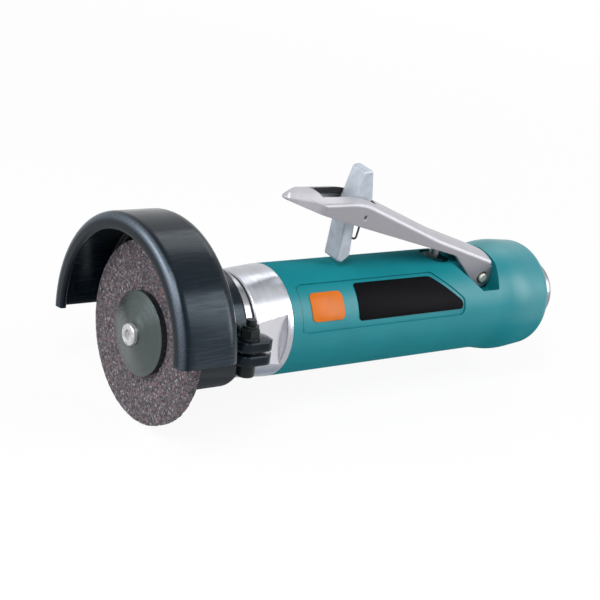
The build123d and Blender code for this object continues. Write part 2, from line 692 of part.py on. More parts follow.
def lever_crest():
    """Crest line of the lever from its tip to its tail, as (X, Z) corner points."""
    return [(x_tip, tip_z), (x_pivot - BEND_AHEAD, bend_z), (x_pivot - KNEE_AHEAD, knee_z), (x_tail, tail_z)]


def lever_skin():
    """Crowned top of the lever, swept along its crest."""
    path = Plane.XZ * FilletPolyline(*lever_crest(), radius=[BEND_ROUND, KNEE_ROUND])
    h = LEVER_HALF
    section = make_face(Curve() + [
        ThreePointArc((-h, -LEVER_CROWN), (0, 0), (h, -LEVER_CROWN)),
        Line((h, -LEVER_CROWN), (h, -LEVER_CROWN - LEVER_SKIN)),
        ThreePointArc((h, -LEVER_CROWN - LEVER_SKIN), (0, -LEVER_SKIN), (-h, -LEVER_CROWN - LEVER_SKIN)),
        Line((-h, -LEVER_CROWN - LEVER_SKIN), (-h, -LEVER_CROWN))])
    section = fillet(section.vertices().sort_by(Axis.Y)[-2:], LEVER_EDGE)
    start = Plane(origin=path @ 0, x_dir=(0, 1, 0), z_dir=path % 0)
    return sweep(start * section, path=path)


def under_nose():
    """Slope line of the nose's underside, from below its tip to the chin."""
    return (x_tip, tip_z - NOSE_T), (x_pivot - CHIN_AHEAD, chin_z)


def lever_sides():
    """Side walls under the skin, with the ears that take the pin."""
    drop = LEVER_CROWN + LEVER_SKIN * 0.55
    crest = [(x, z - drop) for x, z in lever_crest()[1:]]
    x_ear = x_pivot + EAR_R
    x_neck = x_pivot - NECK_AHEAD
    z_corner = neck_z + (x_ear - x_neck) * tan(ear_line())
    (x_low, z_low), chin = under_nose()
    outline = FilletPolyline(
        (x_low, z_low), *crest, (x_ear, tail_z - drop - 1.5), (x_ear, z_corner), (x_neck, neck_z), chin,
        radius=[0, BEND_ROUND, KNEE_ROUND, 0, 0, EAR_R, 6.0, 2.5], close=True)
    return across(outline, -LEVER_HALF, -lever_inner) + across(outline, lever_inner, LEVER_HALF)


def lever_nose(x_end):
    """Solid nose between the skin and its sloping underside."""
    (x0, z0), (x1, z1) = under_nose()
    z_end = z0 + (z1 - z0) * (x_end - x0) / (x1 - x0)
    z_skin = tip_z - LEVER_CROWN
    outline = Polyline((x0, z0), (x0, z_skin), (x_end, z_skin), (x_end, z_end), close=True)
    return across(outline, -lever_inner, lever_inner)


def lever_plan():
    """Upright bar with the lever's outline from above: straight sides and a pointed, bevelled nose."""
    half_angle = atan2(LEVER_HALF, LEVER_NOSE)
    x_point = x_tip - NOSE_POINT_R * (1 / sin(half_angle) - 1)
    x_shoulder, x_end, half = x_point + LEVER_NOSE, x_tail + 10, LEVER_HALF
    plan = make_face(FilletPolyline(
        (x_point, 0), (x_shoulder, -half), (x_end, -half), (x_end, half), (x_shoulder, half),
        radius=[NOSE_POINT_R, NOSE_SHOULDER_R, 0, 0, NOSE_SHOULDER_R], close=True))
    z_bevel = tip_z - NOSE_BEVEL
    bevel = extrude(Pos(0, 0, z_bevel) * plan, amount=NOSE_BEVEL + 0.5, taper=NOSE_BEVEL_ANGLE)
    return extrude(plan, amount=z_bevel) + bevel


def throttle_lever():
    """Cast lever: crowned paddle with a solid nose, arm, slot for the lock, and two ears."""
    x0, x1 = x_lock - SLOT_AHEAD, x_lock + SLOT_BEHIND
    body = lever_skin() + lever_sides() + lever_nose(x0 - NOSE_SOLID_END)
    tip, chin = under_nose()
    body -= across(Polyline(tip, chin, (tip[0], chin[1]), close=True), -LEVER_HALF - 1, LEVER_HALF + 1)
    body &= lever_plan()
    slot = block(x0 + slot_half, x1, -slot_half, slot_half, lock_z, tip_z + 5)
    body -= slot + rod_z(slot_half, lock_z, tip_z + 5, x0 + slot_half)
    body -= rod_y(LOCK_PIN_R + FIT, -LEVER_HALF - 1, LEVER_HALF + 1, x_lock, lock_z)
    return body - rod_y(BUSH_R + FIT, -LEVER_HALF - 1, LEVER_HALF + 1, x_pivot, pivot_z)


def lever_bushes():
    """Plain bushes in the two ears."""
    bush = rod_y(BUSH_R, lever_inner, LEVER_HALF, x_pivot, pivot_z)
    bush -= rod_y(PIN_R + RUN, lever_inner - 1, LEVER_HALF + 1, x_pivot, pivot_z)
    return Part() + [bush, bush.mirror(Plane.XZ)]


def lever_pin():
    """Headed pin through the ears and the boss."""
    y_head = -(LEVER_HALF + CONTACT_GAP)
    pin = rod_y(PIN_R, y_head, LEVER_HALF + 0.6, x_pivot, pivot_z)
    head = rod_y(PIN_HEAD_R, y_head - 1.0, y_head, x_pivot, pivot_z)
    return pin + fillet(head.edges().filter_by(GeomType.CIRCLE).sort_by(Axis.Y)[0], 0.5)


def lock_outline():
    """Side view of the lock: foot below its pin, thumb piece above, leaning back a little."""
    front, back = -LOCK_FOOT_AHEAD, LOCK_FOOT_T - LOCK_FOOT_AHEAD
    return FilletPolyline(
        (front, -5.3), (front + 0.3, -LOCK_FOOT + 0.9), (front + 3.1, -LOCK_FOOT),
        (back + 0.9, -LOCK_FOOT + 3.0), (back - 0.6, -5.2), (4.2, -2.0), (LOCK_HEAD_T - 2.8, 6.4),
        (LOCK_HEAD_T - 6.2, LOCK_HEAD), (-0.8, LOCK_HEAD - 0.6), (-3.0, 7.7),
        radius=[2.0, 1.2, 1.5, 1.5, 1.5, 3.0, 1.2, LOCK_CORNER * 0.6, LOCK_CORNER * 0.8, 3.0], close=True)


def lock_lever():
    """Folding lock with a ridged back edge."""
    outline = Pos(x_lock, lock_z) * lock_outline()
    body = across(outline, -lock_half, lock_half)
    body += rod_y(LOCK_HUB_R, -lock_half, lock_half, x_lock, lock_z)
    sides = body.faces().filter_by(Axis.Y).sort_by(Axis.Y)
    body = fillet(sides[0].edges() + sides[-1].edges(), LOCK_EDGE)
    run_x, run_z = -3.4, LOCK_HEAD - 6.4
    for i in range(LOCK_RIDGES):
        s = (i + 1.5) / (LOCK_RIDGES + 2)
        x, z = x_lock + LOCK_HEAD_T - 2.8 + run_x * s + LOCK_GROOVE_R - LOCK_GROOVE, lock_z + 6.4 + run_z * s
        body -= rod_y(LOCK_GROOVE_R, -lock_half - 1, lock_half + 1, x, z)
    return body - rod_y(LOCK_PIN_R + RUN, -lock_half - 1, lock_half + 1, x_lock, lock_z)


def lock_pin():
    """Pin across the lever, its ends below the surface."""
    reach = LEVER_HALF - LOCK_PIN_SUNK
    return rod_y(LOCK_PIN_R, -reach, reach, x_lock, lock_z)


def lock_spring():
    """Torsion spring round the lock pin: one leg behind the foot, one under the lever's skin."""
    r, w = SPRING_COIL_R, SPRING_WIRE_R
    y_in = spring_outer_y + SPRING_PITCH * (SPRING_TURNS + 0.25)
    x_leg = x_lock + LOCK_FOOT_T - LOCK_FOOT_AHEAD + 0.3 + CONTACT_GAP + w
    z_leg = lock_z - SPRING_LEG
    d = hypot(x_leg - x_lock, SPRING_LEG)
    start = atan2(z_leg - lock_z, x_leg - x_lock) + acos(r / d)
    points, tangents = coil((x_lock, y_in, lock_z), r, start, SPRING_TURNS + 0.25, SPRING_PITCH,
                            lambda c, u, v, s: (c[0] + u, c[1] - s, c[2] + v))
    up = unit((points[0][0] - x_leg, 0, points[0][2] - z_leg))
    tangents[0] = up
    bend = 4 * w
    leg = [(x_leg, -lock_half / 2, z_leg), (x_leg, y_in, z_leg), points[0]]
    edges = list(FilletPolyline(*leg, radius=[bend]).edges())
    last = points[-1]
    flat = unit((tangents[-1][0], 0, tangents[-1][2]))
    tangents[-1] = flat
    for p0, t0, p1, t1 in zip(points, tangents, points[1:], tangents[1:]):
        edges += biarc(p0, t0, p1, t1)
    end = tuple(a + 7.0 * b for a, b in zip(last, flat))
    edges.append(Edge.make_line(last, end))
    return wire_tube(edges, w, "lock_spring")


def stem_top():
    """Height of the centre of the stem's domed end, a contact gap under the lever's skin."""
    slope = atan((knee_z - tail_z) / (KNEE_AHEAD + TAIL_BEHIND))
    under = knee_z - (KNEE_AHEAD - VALVE_AHEAD) * tan(slope) - LEVER_SKIN / cos(slope)
    return under - (STEM_R + CONTACT_GAP) / cos(slope)


def valve_bush():
    """Valve cage: guide for the stem, side windows and the seat at its lower end."""
    z_top = GRIP_R - VALVE_BUSH_SUNK
    body = rod_z(VALVE_BORE_R, VALVE_SEAT_Z, z_top - 0.8, x_valve)
    body += rod_z(VALVE_BORE_R - 2.0, z_top - 2.0, z_top, x_valve)
    body -= rod_z(STEM_R + RUN, VALVE_SEAT_Z - 1, z_top + 1, x_valve)
    body -= rod_z(VALVE_BORE_R - 2.6, VALVE_SEAT_Z - 1, FEED_Z + FEED_R + 0.8, x_valve)
    return body - rod_x(FEED_R, x_valve - VALVE_BORE_R - 1, x_valve, 0, FEED_Z)


def valve_plunger():
    """Stem with a domed end under the lever and a poppet below the seat."""
    z_poppet = VALVE_SEAT_Z - SEAL_T - FIT
    z_under = z_poppet - POPPET_H
    body = rod_z(STEM_R, z_under, stem_top(), x_valve) + Pos(x_valve, 0, stem_top()) * Sphere(STEM_R)
    body += rod_z(POPPET_R, z_under, z_poppet, x_valve)
    return body + rod_z(VALVE_SPRING_R - VALVE_SPRING_WIRE_R - 0.4, z_under - 2, z_poppet, x_valve)


def valve_seal():
    """Flat seal on the poppet."""
    z_poppet = VALVE_SEAT_Z - SEAL_T - FIT
    ring = rod_z(POPPET_R, z_poppet, VALVE_SEAT_Z - FIT, x_valve)
    return ring - rod_z(STEM_R + FIT, z_poppet - 1, VALVE_SEAT_Z, x_valve)


def valve_spring():
    """Coil spring between the poppet and the floor of the bore."""
    w = VALVE_SPRING_WIRE_R
    z_top = VALVE_SEAT_Z - SEAL_T - FIT - POPPET_H
    z0, z1 = VALVE_FLOOR_Z + w + FIT, z_top - w - FIT
    pitch = (z1 - z0) / VALVE_SPRING_TURNS
    points, tangents = coil((x_valve, 0, z0), VALVE_SPRING_R, 0, VALVE_SPRING_TURNS, pitch,
                            lambda c, u, v, s: (c[0] + u, c[1] + v, c[2] + s))
    edges = []
    for p0, t0, p1, t1 in zip(points, tangents, points[1:], tangents[1:]):
        edges += biarc(p0, t0, p1, t1)
    return wire_tube(edges, w, "valve_spring")


def inlet_bush():
    """Threaded inlet with a hexagon at its mouth."""
    x_root = x_silencer - INLET_ROOT + 0.5
    body = rod_x(INLET_ROOT_R, x_root, x_silencer + 1) + rod_x(INLET_TUBE_R, x_silencer, x_cap_back)
    body += hex_x(INLET_HEX_AF, x_cap_back, x_inlet)
    body -= rod_x(INLET_BORE_R, x_inlet - INLET_THREAD, x_inlet + 1)
    body -= rod_x(SCREEN_R + FIT, x_inlet - INLET_THREAD - SCREEN_T, x_inlet)
    return body - rod_x(INLET_PASSAGE_R, x_root - 1, x_inlet)


def inlet_screen():
    """Punched disc at the bottom of the inlet thread."""
    x1 = x_inlet - INLET_THREAD
    disc = rod_x(SCREEN_R, x1 - SCREEN_T, x1)
    for ring, count in ((0.0, 1), (1.7, 6), (3.4, 12)):
        for i in range(count):
            a = 2 * pi * i / count
            disc -= rod_x(SCREEN_HOLE_R, x1 - SCREEN_T - 1, x1 + 1, ring * cos(a), ring * sin(a))
    return disc


def silencer_felt():
    """Felt ring round the inlet tube."""
    return ring_x(REAR_BORE_R - FIT, INLET_TUBE_R + FIT, x_silencer + 0.3, x_silencer + 0.3 + FELT_LENGTH)


def exhaust_cap():
    """Turned end cap with a ring of exhaust ports round the inlet."""
    x0 = x_cap_back - CAP_LENGTH
    cap = ring_x(REAR_BORE_R - FIT, INLET_TUBE_R + FIT, x0, x_cap_back)
    rim = cap.edges().filter_by(GeomType.CIRCLE).sort_by(SortBy.RADIUS)[-2:].sort_by(Axis.X)[-1]
    cap = fillet(rim, CAP_ROUND)
    for i in range(CAP_PORTS):
        a = 2 * pi * i / CAP_PORTS
        middle = (REAR_BORE_R + INLET_TUBE_R) / 2
        cap -= rod_x(CAP_PORT_R, x0 - 1, x_cap_back + 1, middle * cos(a), middle * sin(a))
    return cap


def export(name, shape):
    """Writes one node with its origin at the inlet's mouth."""
    export_step(Pos(-x_inlet, 0, 0) * shape, os.path.join("parts", name + ".step"))


def main():
    os.makedirs("parts", exist_ok=True)
    front_outer, front_inner, front_balls = bearing(
        x_bearing1, BEARING1_BORE_R, BEARING1_R, BEARING1_W, BEARING1_BALLS)
    rear_outer, rear_inner, rear_balls = bearing(
        x_bearing2, BEARING2_BORE_R, BEARING2_R, BEARING2_W, BEARING2_BALLS)
    nodes = {
        "cut_off_wheel": cut_off_wheel(), "outer_flange": outer_flange(), "flange_screw": flange_screw(),
        "inner_flange": inner_flange(), "arbor": arbor(), "nose_cap": nose(), "nose_seal": nose_seal(),
        "front_bearing_outer_ring": front_outer, "front_bearing_inner_ring": front_inner,
        "front_bearing_balls": front_balls, "front_bearing_clip": bearing_clip(),
        "motor_body": motor_body(), "front_end_plate": front_plate(), "motor_cylinder": motor_cylinder(),
        "cylinder_dowel": dowel(), "rotor": rotor(), "rotor_vanes": rotor_vanes(),
        "rear_end_plate": rear_plate(),
        "rear_bearing_outer_ring": rear_outer, "rear_bearing_inner_ring": rear_inner,
        "rear_bearing_balls": rear_balls, "motor_gasket": motor_gasket(),
        "wheel_guard": wheel_guard(), "guard_clamp_screw": clamp_screw(), "guard_clamp_nut": clamp_nut(),
        "guard_clamp_washer": clamp_washer(), "grip_housing": grip_housing(),
        "throttle_lever": throttle_lever(), "lever_bushes": lever_bushes(), "lever_pin": lever_pin(),
        "lock_lever": lock_lever(), "lock_pin": lock_pin(), "lock_spring": lock_spring(),
        "valve_bush": valve_bush(), "valve_plunger": valve_plunger(), "valve_seal": valve_seal(),
        "valve_spring": valve_spring(), "inlet_bush": inlet_bush(), "inlet_screen": inlet_screen(),
        "silencer_felt": silencer_felt(), "exhaust_cap": exhaust_cap()}
    for name, shape in nodes.items():
        export(name, shape)


main()
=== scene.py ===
"""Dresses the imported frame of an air-driven cut-off tool: finishes, small pieces and stage."""

import math

import bmesh
import bpy
from bpy.props import FloatProperty, FloatVectorProperty, IntProperty, PointerProperty
from mathutils import Matrix, Vector, noise


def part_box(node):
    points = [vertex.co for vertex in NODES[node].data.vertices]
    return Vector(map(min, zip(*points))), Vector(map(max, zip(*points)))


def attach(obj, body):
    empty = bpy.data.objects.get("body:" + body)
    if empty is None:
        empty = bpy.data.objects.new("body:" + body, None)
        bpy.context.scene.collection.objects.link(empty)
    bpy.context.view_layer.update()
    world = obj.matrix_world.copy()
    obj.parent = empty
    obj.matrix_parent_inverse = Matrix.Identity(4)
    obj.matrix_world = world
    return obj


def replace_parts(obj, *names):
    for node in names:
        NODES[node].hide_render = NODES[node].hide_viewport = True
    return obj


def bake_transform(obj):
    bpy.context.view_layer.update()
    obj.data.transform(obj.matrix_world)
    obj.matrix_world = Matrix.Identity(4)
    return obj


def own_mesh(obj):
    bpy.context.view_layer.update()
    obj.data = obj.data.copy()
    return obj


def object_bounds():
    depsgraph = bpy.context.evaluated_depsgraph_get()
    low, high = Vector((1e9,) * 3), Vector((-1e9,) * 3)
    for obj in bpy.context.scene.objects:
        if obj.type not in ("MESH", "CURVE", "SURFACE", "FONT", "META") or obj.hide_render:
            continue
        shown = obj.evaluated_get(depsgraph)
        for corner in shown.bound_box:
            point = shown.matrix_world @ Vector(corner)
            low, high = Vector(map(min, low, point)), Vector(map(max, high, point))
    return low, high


bl_info = {
    "name": "Cut-off tool dresser",
    "version": (1, 0, 0),
    "blender": (4, 5, 0),
    "location": "3D View > Sidebar > Cut-off tool",
    "description": "Gives a packed cut-off tool its finishes, its small pieces and a stage",
    "category": "Object",
}

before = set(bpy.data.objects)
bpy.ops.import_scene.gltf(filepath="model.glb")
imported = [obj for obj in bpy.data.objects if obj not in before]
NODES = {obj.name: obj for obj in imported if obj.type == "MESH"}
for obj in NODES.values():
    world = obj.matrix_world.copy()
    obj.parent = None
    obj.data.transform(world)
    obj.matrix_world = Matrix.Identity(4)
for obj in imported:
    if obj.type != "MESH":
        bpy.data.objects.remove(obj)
CAD_BOX = [list(corner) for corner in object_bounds()]
WHEEL_LOW, WHEEL_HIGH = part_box("cut_off_wheel")
MM = 0.001
WHITE = (1.0, 1.0, 1.0, 1.0)

# Places on the CAD model, in millimetres and degrees. Stations count from the wheel's front face towards
# the inlet. Of two numbers, a finish starts at the first and is full at the second. Of four, it is full
# between the middle two and ends at the last.
GUARD_ROUNDING = 3.4                        # rounding of the guard's front edge
GUARD_SHELL = (-11.5, -7.5, 11.0, 13.5)     # stations of the guard's outer side
FLAT_LENGTH = 15.5                          # wrench flats, from the front of the motor body
FLAT_DISTANCE = 21.3                        # their distance from the axis
FLAT_TURN = 4.6                             # their turn about it
BODY_SKIN = (23.3, 22.8)                    # radii, from the turned skin in to the flats' ends
GRIP_CREST = (165.0, 150.0)                 # stations where the grip's crest ends before the swelling
GRIP_CREST_HEIGHT = (17.0, 22.0)            # heights of the crest above the axis
GRIP_SWELLING = (176.0, 190.0)              # stations where the grip swells
PANEL_STEP = (62.7, 63.0, 63.5, 63.8)       # stations of the step at the side panel's front end
PANEL_LOW, PANEL_HIGH = 11.5, 60.0          # angles of the panel's edges above the side
LEVER_EDGE = (8.7, 9.3, 9.7, 10.15)         # distances from the lever's middle to its rounded top edges
LEVER_SIDE = (9.0, 10.1)                    # and to its side walls
LEVER_ARM = (86.0, 100.0)                   # stations where the lever's paddle turns into its arm
LEVER_SLOT = (72.6, 72.8, 103.4, 103.6)     # stations of the slot for the lock
LEVER_SLOT_SIDE = (5.40, 5.34)              # distances from the lever's middle to the slot's walls
INLET_PITCH, INLET_BORE = 1.41, 5.72        # thread of the air inlet, and the radius of its bore

# Corners of the plain plate and the plain block in the side panel, as stations and angles above the side
PLATE_CORNERS = ((94.0, 17.2), (155.4, 17.2), (155.4, 25.6), (138.2, 57.6), (94.0, 58.0))
ACCENT_CORNERS = ((68.5, 21.0), (86.0, 21.0), (86.0, 51.5), (68.5, 51.5))

# Painted light: a lighter tone on the milled flats and the step at their end. Bright metal where its edges
# are bare
FLATS_PAINTED_LIGHT = (0.63, 0.63, 0.67)
BARE_EDGE = (0.80, 0.80, 0.83)

# The abrasive wheel's mesh: divisions across its faces and its rim, and the size of chips and pits
FACE_CUTS, RIM_CUTS = 44, 4
CHIP_SIZE, PIT_SIZE = 1.1 * MM, 0.8 * MM
PIT_SHIFT = Vector((9.0, 4.0, 2.0))

# Half the floor's width, its drop below the tool, and the millimetres over which it turns plain white
FLOOR_REACH, FLOOR_DROP = 8.0, 0.2 * MM
FLOOR_FADE = (250.0, 900.0)

# Lamps by name, with size and place in metres, and the camera
LAMPS = {
    "key": ((0.30, 0.80), (-0.73, -0.37, 0.88)),
    "fill": ((0.42, 0.80), (0.54, -0.64, 0.50)),
    "rim": ((0.50, 0.50), (0.46, 0.38, 0.76)),
    "front": ((0.80, 0.22), (-1.05, 0.33, 0.38)),
}
CAMERA_LENS, CAMERA_SENSOR = 89.7, 36.0
CAMERA_AXES = ((0.78801, -0.57853, 0.21057), (0.08387, 0.43971, 0.89421), (-0.60992, -0.68699, 0.39502))
CAMERA_PLACE = (-0.5425, -0.44431, 0.26289)


def station(x):
    """X in the frame of a distance in millimetres behind the wheel's front face."""
    return WHEEL_LOW.x + x * MM


def colour(name, description, default):
    """A colour setting."""
    return FloatVectorProperty(
        name=name, description=description, subtype="COLOR", size=3, min=0.0, max=1.0, default=default)


def length(name, description, default):
    """A length setting, in metres."""
    return FloatProperty(
        name=name, description=description, subtype="DISTANCE", unit="LENGTH", default=default)


def power(name, description, default):
    """A lamp's power setting, in watts."""
    return FloatProperty(name=name, description=description, subtype="POWER", default=default)


class CutoffColours(bpy.types.PropertyGroup):
    """Colours of the visible pieces."""

    grip: colour("Grip", "Moulded grip", (0.004, 0.188, 0.221))
    grip_shade: colour("Grip shade", "Deeper tone in the moulding", (0.003, 0.166, 0.196))
    guard: colour("Guard", "Satin coat of the guard", (0.002, 0.0045, 0.008))
    # Painted sheen: a lighter, bluer coat colour low on the guard's near side.
    guard_painted_sheen: colour("Guard side", "Faded coat low on the guard's side", (0.029, 0.037, 0.050))
    # Colour of the guard's front edge worn to bare metal; its lighter tone also stands as a painted
    # highlight.
    guard_worn_highlight: colour("Guard edge", "Rubbed front edge of the guard", (0.13, 0.155, 0.19))
    grit: colour("Grit", "Middle tone of the abrasive grains", (0.120, 0.113, 0.132))
    grit_dark: colour("Grit gaps", "Bond between the grains", (0.022, 0.018, 0.020))
    grit_bright: colour("Grit sparkle", "Brightest grains", (0.42, 0.38, 0.39))
    flange: colour("Flange", "Turned flanges", (0.084, 0.102, 0.102))
    bright: colour("Bright metal", "Polished nose, motor body and end cap", (0.44, 0.45, 0.49))
    lever: colour("Lever", "Cast lever", (0.38, 0.375, 0.41))
    lock: colour("Lock", "Folding lock", (0.40, 0.44, 0.50))
    plate: colour("Plate", "Plain plate on the side panel", (0.003, 0.003, 0.004))
    accent: colour("Accent", "Plain block on the side panel", (0.54, 0.130, 0.010))


class CutoffSizes(bpy.types.PropertyGroup):
    """Sizes of the pieces that the scene adds."""

    grip_radius: length("Grip radius", "Outside of the grip", 24.2 * MM)
    panel_depth: length("Panel depth", "Side panel below the grip's surface", 0.6 * MM)
    plate_thickness: length("Plate thickness", "Plain plate in the panel", 0.42 * MM)
    plate_corner: length("Plate corners", "Rounding of the plain plate's corners", 1.6 * MM)
    accent_thickness: length("Accent thickness", "Plain block in the panel", 0.34 * MM)
    accent_corner: length("Accent corners", "Rounding of the plain block's corners", 2.4 * MM)
    wheel_bore: length("Wheel bore", "Hole of the abrasive wheel", 9.5 * MM)
    rim_wear: length("Rim wear", "Deepest chip in the wheel's rim", 0.55 * MM)
    face_wear: length("Face wear", "Deepest hollow in the wheel's faces", 0.12 * MM)
    wheel_steps: IntProperty(
        name="Wheel steps", description="Steps round the wheel", min=64, max=400, default=320)


class CutoffStage(bpy.types.PropertyGroup):
    """Light and floor."""

    key_power: power("Key", "Power of the main lamp", 9.5)
    fill_power: power("Fill", "Power of the side lamp", 7.0)
    rim_power: power("Rim", "Power of the lamp behind", 1.5)
    front_power: power("Front", "Power of the lamp before the wheel", 4.0)
    ambient: FloatProperty(
        name="Ambient", description="Light from all round", min=0.0, max=2.0, default=0.20)
    floor_glow: FloatProperty(
        name="Floor glow", description="Share of plain white in the floor", subtype="FACTOR",
        min=0.0, max=1.0, default=0.92)
    floor: colour("Floor", "Pale floor", (0.80, 0.80, 0.80))


class Socket:
    """A node's output that takes part in plain arithmetic."""

    def __init__(self, graph, source):
        self.graph = graph
        self.source = source

    def also(self, output):
        """Another output of the same node."""
        return Socket(self.graph, self.source.node.outputs[output])

    def maths(self, operation, *others):
        """A sum with this value first."""
        terms = dict(enumerate((self, *others)))
        return self.graph.add("ShaderNodeMath", {"operation": operation}, terms)

    def under(self, operation, other):
        """A sum with this value second."""
        return self.graph.add("ShaderNodeMath", {"operation": operation}, {0: other, 1: self})

    def __add__(self, other):
        return self.maths("ADD", other)

    def __sub__(self, other):
        return self.maths("SUBTRACT", other)

    def __mul__(self, other):
        return self.maths("MULTIPLY", other)

    def __truediv__(self, other):
        return self.maths("DIVIDE", other)

    def __pow__(self, other):
        return self.maths("POWER", other)

    def __rsub__(self, other):
        return self.under("SUBTRACT", other)

    def __rtruediv__(self, other):
        return self.under("DIVIDE", other)

    __radd__ = __add__
    __rmul__ = __mul__


class Graph:
    """The node tree of one material, or of the world."""

    def __init__(self, tree):
        self.tree = tree
        tree.nodes.clear()

    def add(self, kind, settings=None, inputs=None, output=0):
        """Adds one node: its type, its settings, then the values or links of its sockets."""
        node = self.tree.nodes.new(kind)
        for name, value in (settings or {}).items():
            if name == "stops":
                ramp = node.color_ramp.elements
                while len(ramp) < len(value):
                    ramp.new(0.5)
                for element, (place, tone) in zip(ramp, value):
                    element.position = place
                    element.color = (*tone, 1.0)
            else:
                setattr(node, name, value)
        for name, value in (inputs or {}).items():
            if isinstance(value, Socket):
                self.tree.links.new(value.source, node.inputs[name])
            else:
                node.inputs[name].default_value = value
        return Socket(self, node.outputs[output] if len(node.outputs) else None)


class Finish(Graph):
    """A material whose patterns are laid out in millimetres on the piece's own place."""

    def __init__(self, name):
        self.material = bpy.data.materials.new(name)
        self.material.use_nodes = True
        super().__init__(self.material.node_tree)
        scaled = {0: self.add("ShaderNodeTexCoord", output="Object"), "Scale": 1.0 / MM}
        self.place = self.add("ShaderNodeVectorMath", {"operation": "SCALE"}, scaled)
        self.x = self.add("ShaderNodeSeparateXYZ", None, {0: self.place})
        self.y = self.x.also("Y")
        self.z = self.x.also("Z")

    def radius(self):
        """Distance from the spindle's axis."""
        return (self.y * self.y + self.z * self.z) ** 0.5

    def angle(self):
        """Angle round the spindle's axis."""
        return self.z.maths("ARCTAN2", self.y)

    def vector(self, x, y=0.0, z=0.0):
        """A place to lay a pattern on, from three values."""
        return self.add("ShaderNodeCombineXYZ", None, {0: x, 1: y, 2: z})

    def noise(self, size, detail, place=None, rough=0.5):
        """Soft noise whose spots are about that size."""
        return self.add("ShaderNodeTexNoise", None, {
            "Vector": place or self.place, "Scale": 1.0 / size, "Detail": detail, "Roughness": rough})

    def cells(self, size):
        """Grains of about that size: the distance inside each, and as another output its colour."""
        return self.add("ShaderNodeTexVoronoi", None, {"Vector": self.place, "Scale": 1.0 / size})

    def blend(self, share, first, second):
        """Mixes two colours."""
        first, second = (tone if isinstance(tone, Socket) else (*tone, 1.0) for tone in (first, second))
        mixed = {0: share, 6: first, 7: second}
        return self.add("ShaderNodeMix", {"data_type": "RGBA"}, mixed, output=2)

    def steps(self, value, low, high):
        """A value spread from low to high onto 0 to 1."""
        inputs = {"Value": value, "From Min": low, "From Max": high}
        return self.add("ShaderNodeMapRange", None, inputs)

    def between(self, value, start, full, still, end):
        """1 where a value lies between full and still, fading to 0 at start and end."""
        return self.steps(value, start, full) * self.steps(value, end, still)

    def stations(self, *places):
        """The same along the tool: two stations give one fade, and four a stretch between two fades."""
        fade = self.steps if len(places) == 2 else self.between
        return fade(self.x, *(station(x) / MM for x in places))

    def tones(self, value, stops):
        """Colours along a value."""
        return self.add("ShaderNodeValToRGB", {"stops": stops}, {0: value})

    def soft_edge(self, radius):
        """Normal of a surface whose hard edges are rounded by that radius."""
        return self.add("ShaderNodeBevel", {"samples": 6}, {"Radius": radius * MM})

    def edge_share(self, rounded):
        """0 on open surfaces, rising to 1 along hard edges."""
        normals = {0: rounded, 1: self.add("ShaderNodeNewGeometry", output="Normal")}
        same = self.add("ShaderNodeVectorMath", {"operation": "DOT_PRODUCT"}, normals, output="Value")
        return self.steps(1.0 - same, 0.01, 0.16)

    def bump(self, height, depth, normal=None):
        """Normal of a surface that a height between 0 and 1 raises by that depth."""
        inputs = {"Height": height, "Distance": depth * MM, "Strength": 1.0}
        if normal:
            inputs["Normal"] = normal
        return self.add("ShaderNodeBump", None, inputs)

    def done(self, **inputs):
        """Ends the material in one surface shader."""
        named = {
            name.replace("_", " ").title().replace("Ior", "IOR"): value
            for name, value in inputs.items()}
        shader = self.add("ShaderNodeBsdfPrincipled", None, named)
        self.add("ShaderNodeOutputMaterial", None, {"Surface": shader})
        return self.material


def shaded(tone, *shares):
    """A colour made lighter or darker by one share, or by one for each of its parts."""
    shares = shares * 3 if len(shares) == 1 else shares
    return tuple(min(1.0, part * share) for part, share in zip(tone, shares))


def grained(name, tone, roughness, metallic=0.0, *, blotch, contrast, grain, depth, edge,
            edge_light=1.0, shine=0.5):
    """A surface with slow colour drift, a fine grain and softened edges."""
    made = Finish(name)
    drift = made.noise(blotch, 3.0)
    fine = made.noise(grain, 3.0, rough=0.6)
    rounded = made.soft_edge(edge)
    base = made.blend(
        made.steps(drift, 0.3, 0.7), shaded(tone, 1 - contrast), shaded(tone, 1 + contrast))
    if edge_light != 1.0:
        worn = made.edge_share(rounded) * made.steps(fine, 0.25, 0.6)
        base = made.blend(worn, base, shaded(tone, edge_light))
    return made.done(
        base_color=base, metallic=metallic, specular_ior_level=shine,
        roughness=roughness * 0.86 + 0.14 * roughness * (drift + fine),
        normal=made.bump(fine, depth, rounded))


def turned(name, tone, roughness, depth=0.012, along_axis=False):
    """Metal from the lathe: fine grooves round the spindle's axis."""
    groove = 0.16
    made = Finish(name)
    run = made.vector(made.x if along_axis else made.radius())
    grooves = made.noise(groove, 4.0, run, 0.7)
    drift = made.noise(7.0, 3.0)
    wide = made.noise(groove * 9, 2.0, run)
    rounded = made.soft_edge(0.2)
    base = made.blend(
        made.steps(grooves * 0.5 + wide * 0.5, 0.32, 0.68), shaded(tone, 0.92), shaded(tone, 1.08))
    base = made.blend(made.edge_share(rounded) * 0.5, base, shaded(tone, 1.35))
    return made.done(
        base_color=base, metallic=1.0,
        roughness=roughness + 0.5 * roughness * (drift - 0.5) + 0.25 * roughness * (grooves - 0.5),
        normal=made.bump(grooves, depth, rounded))


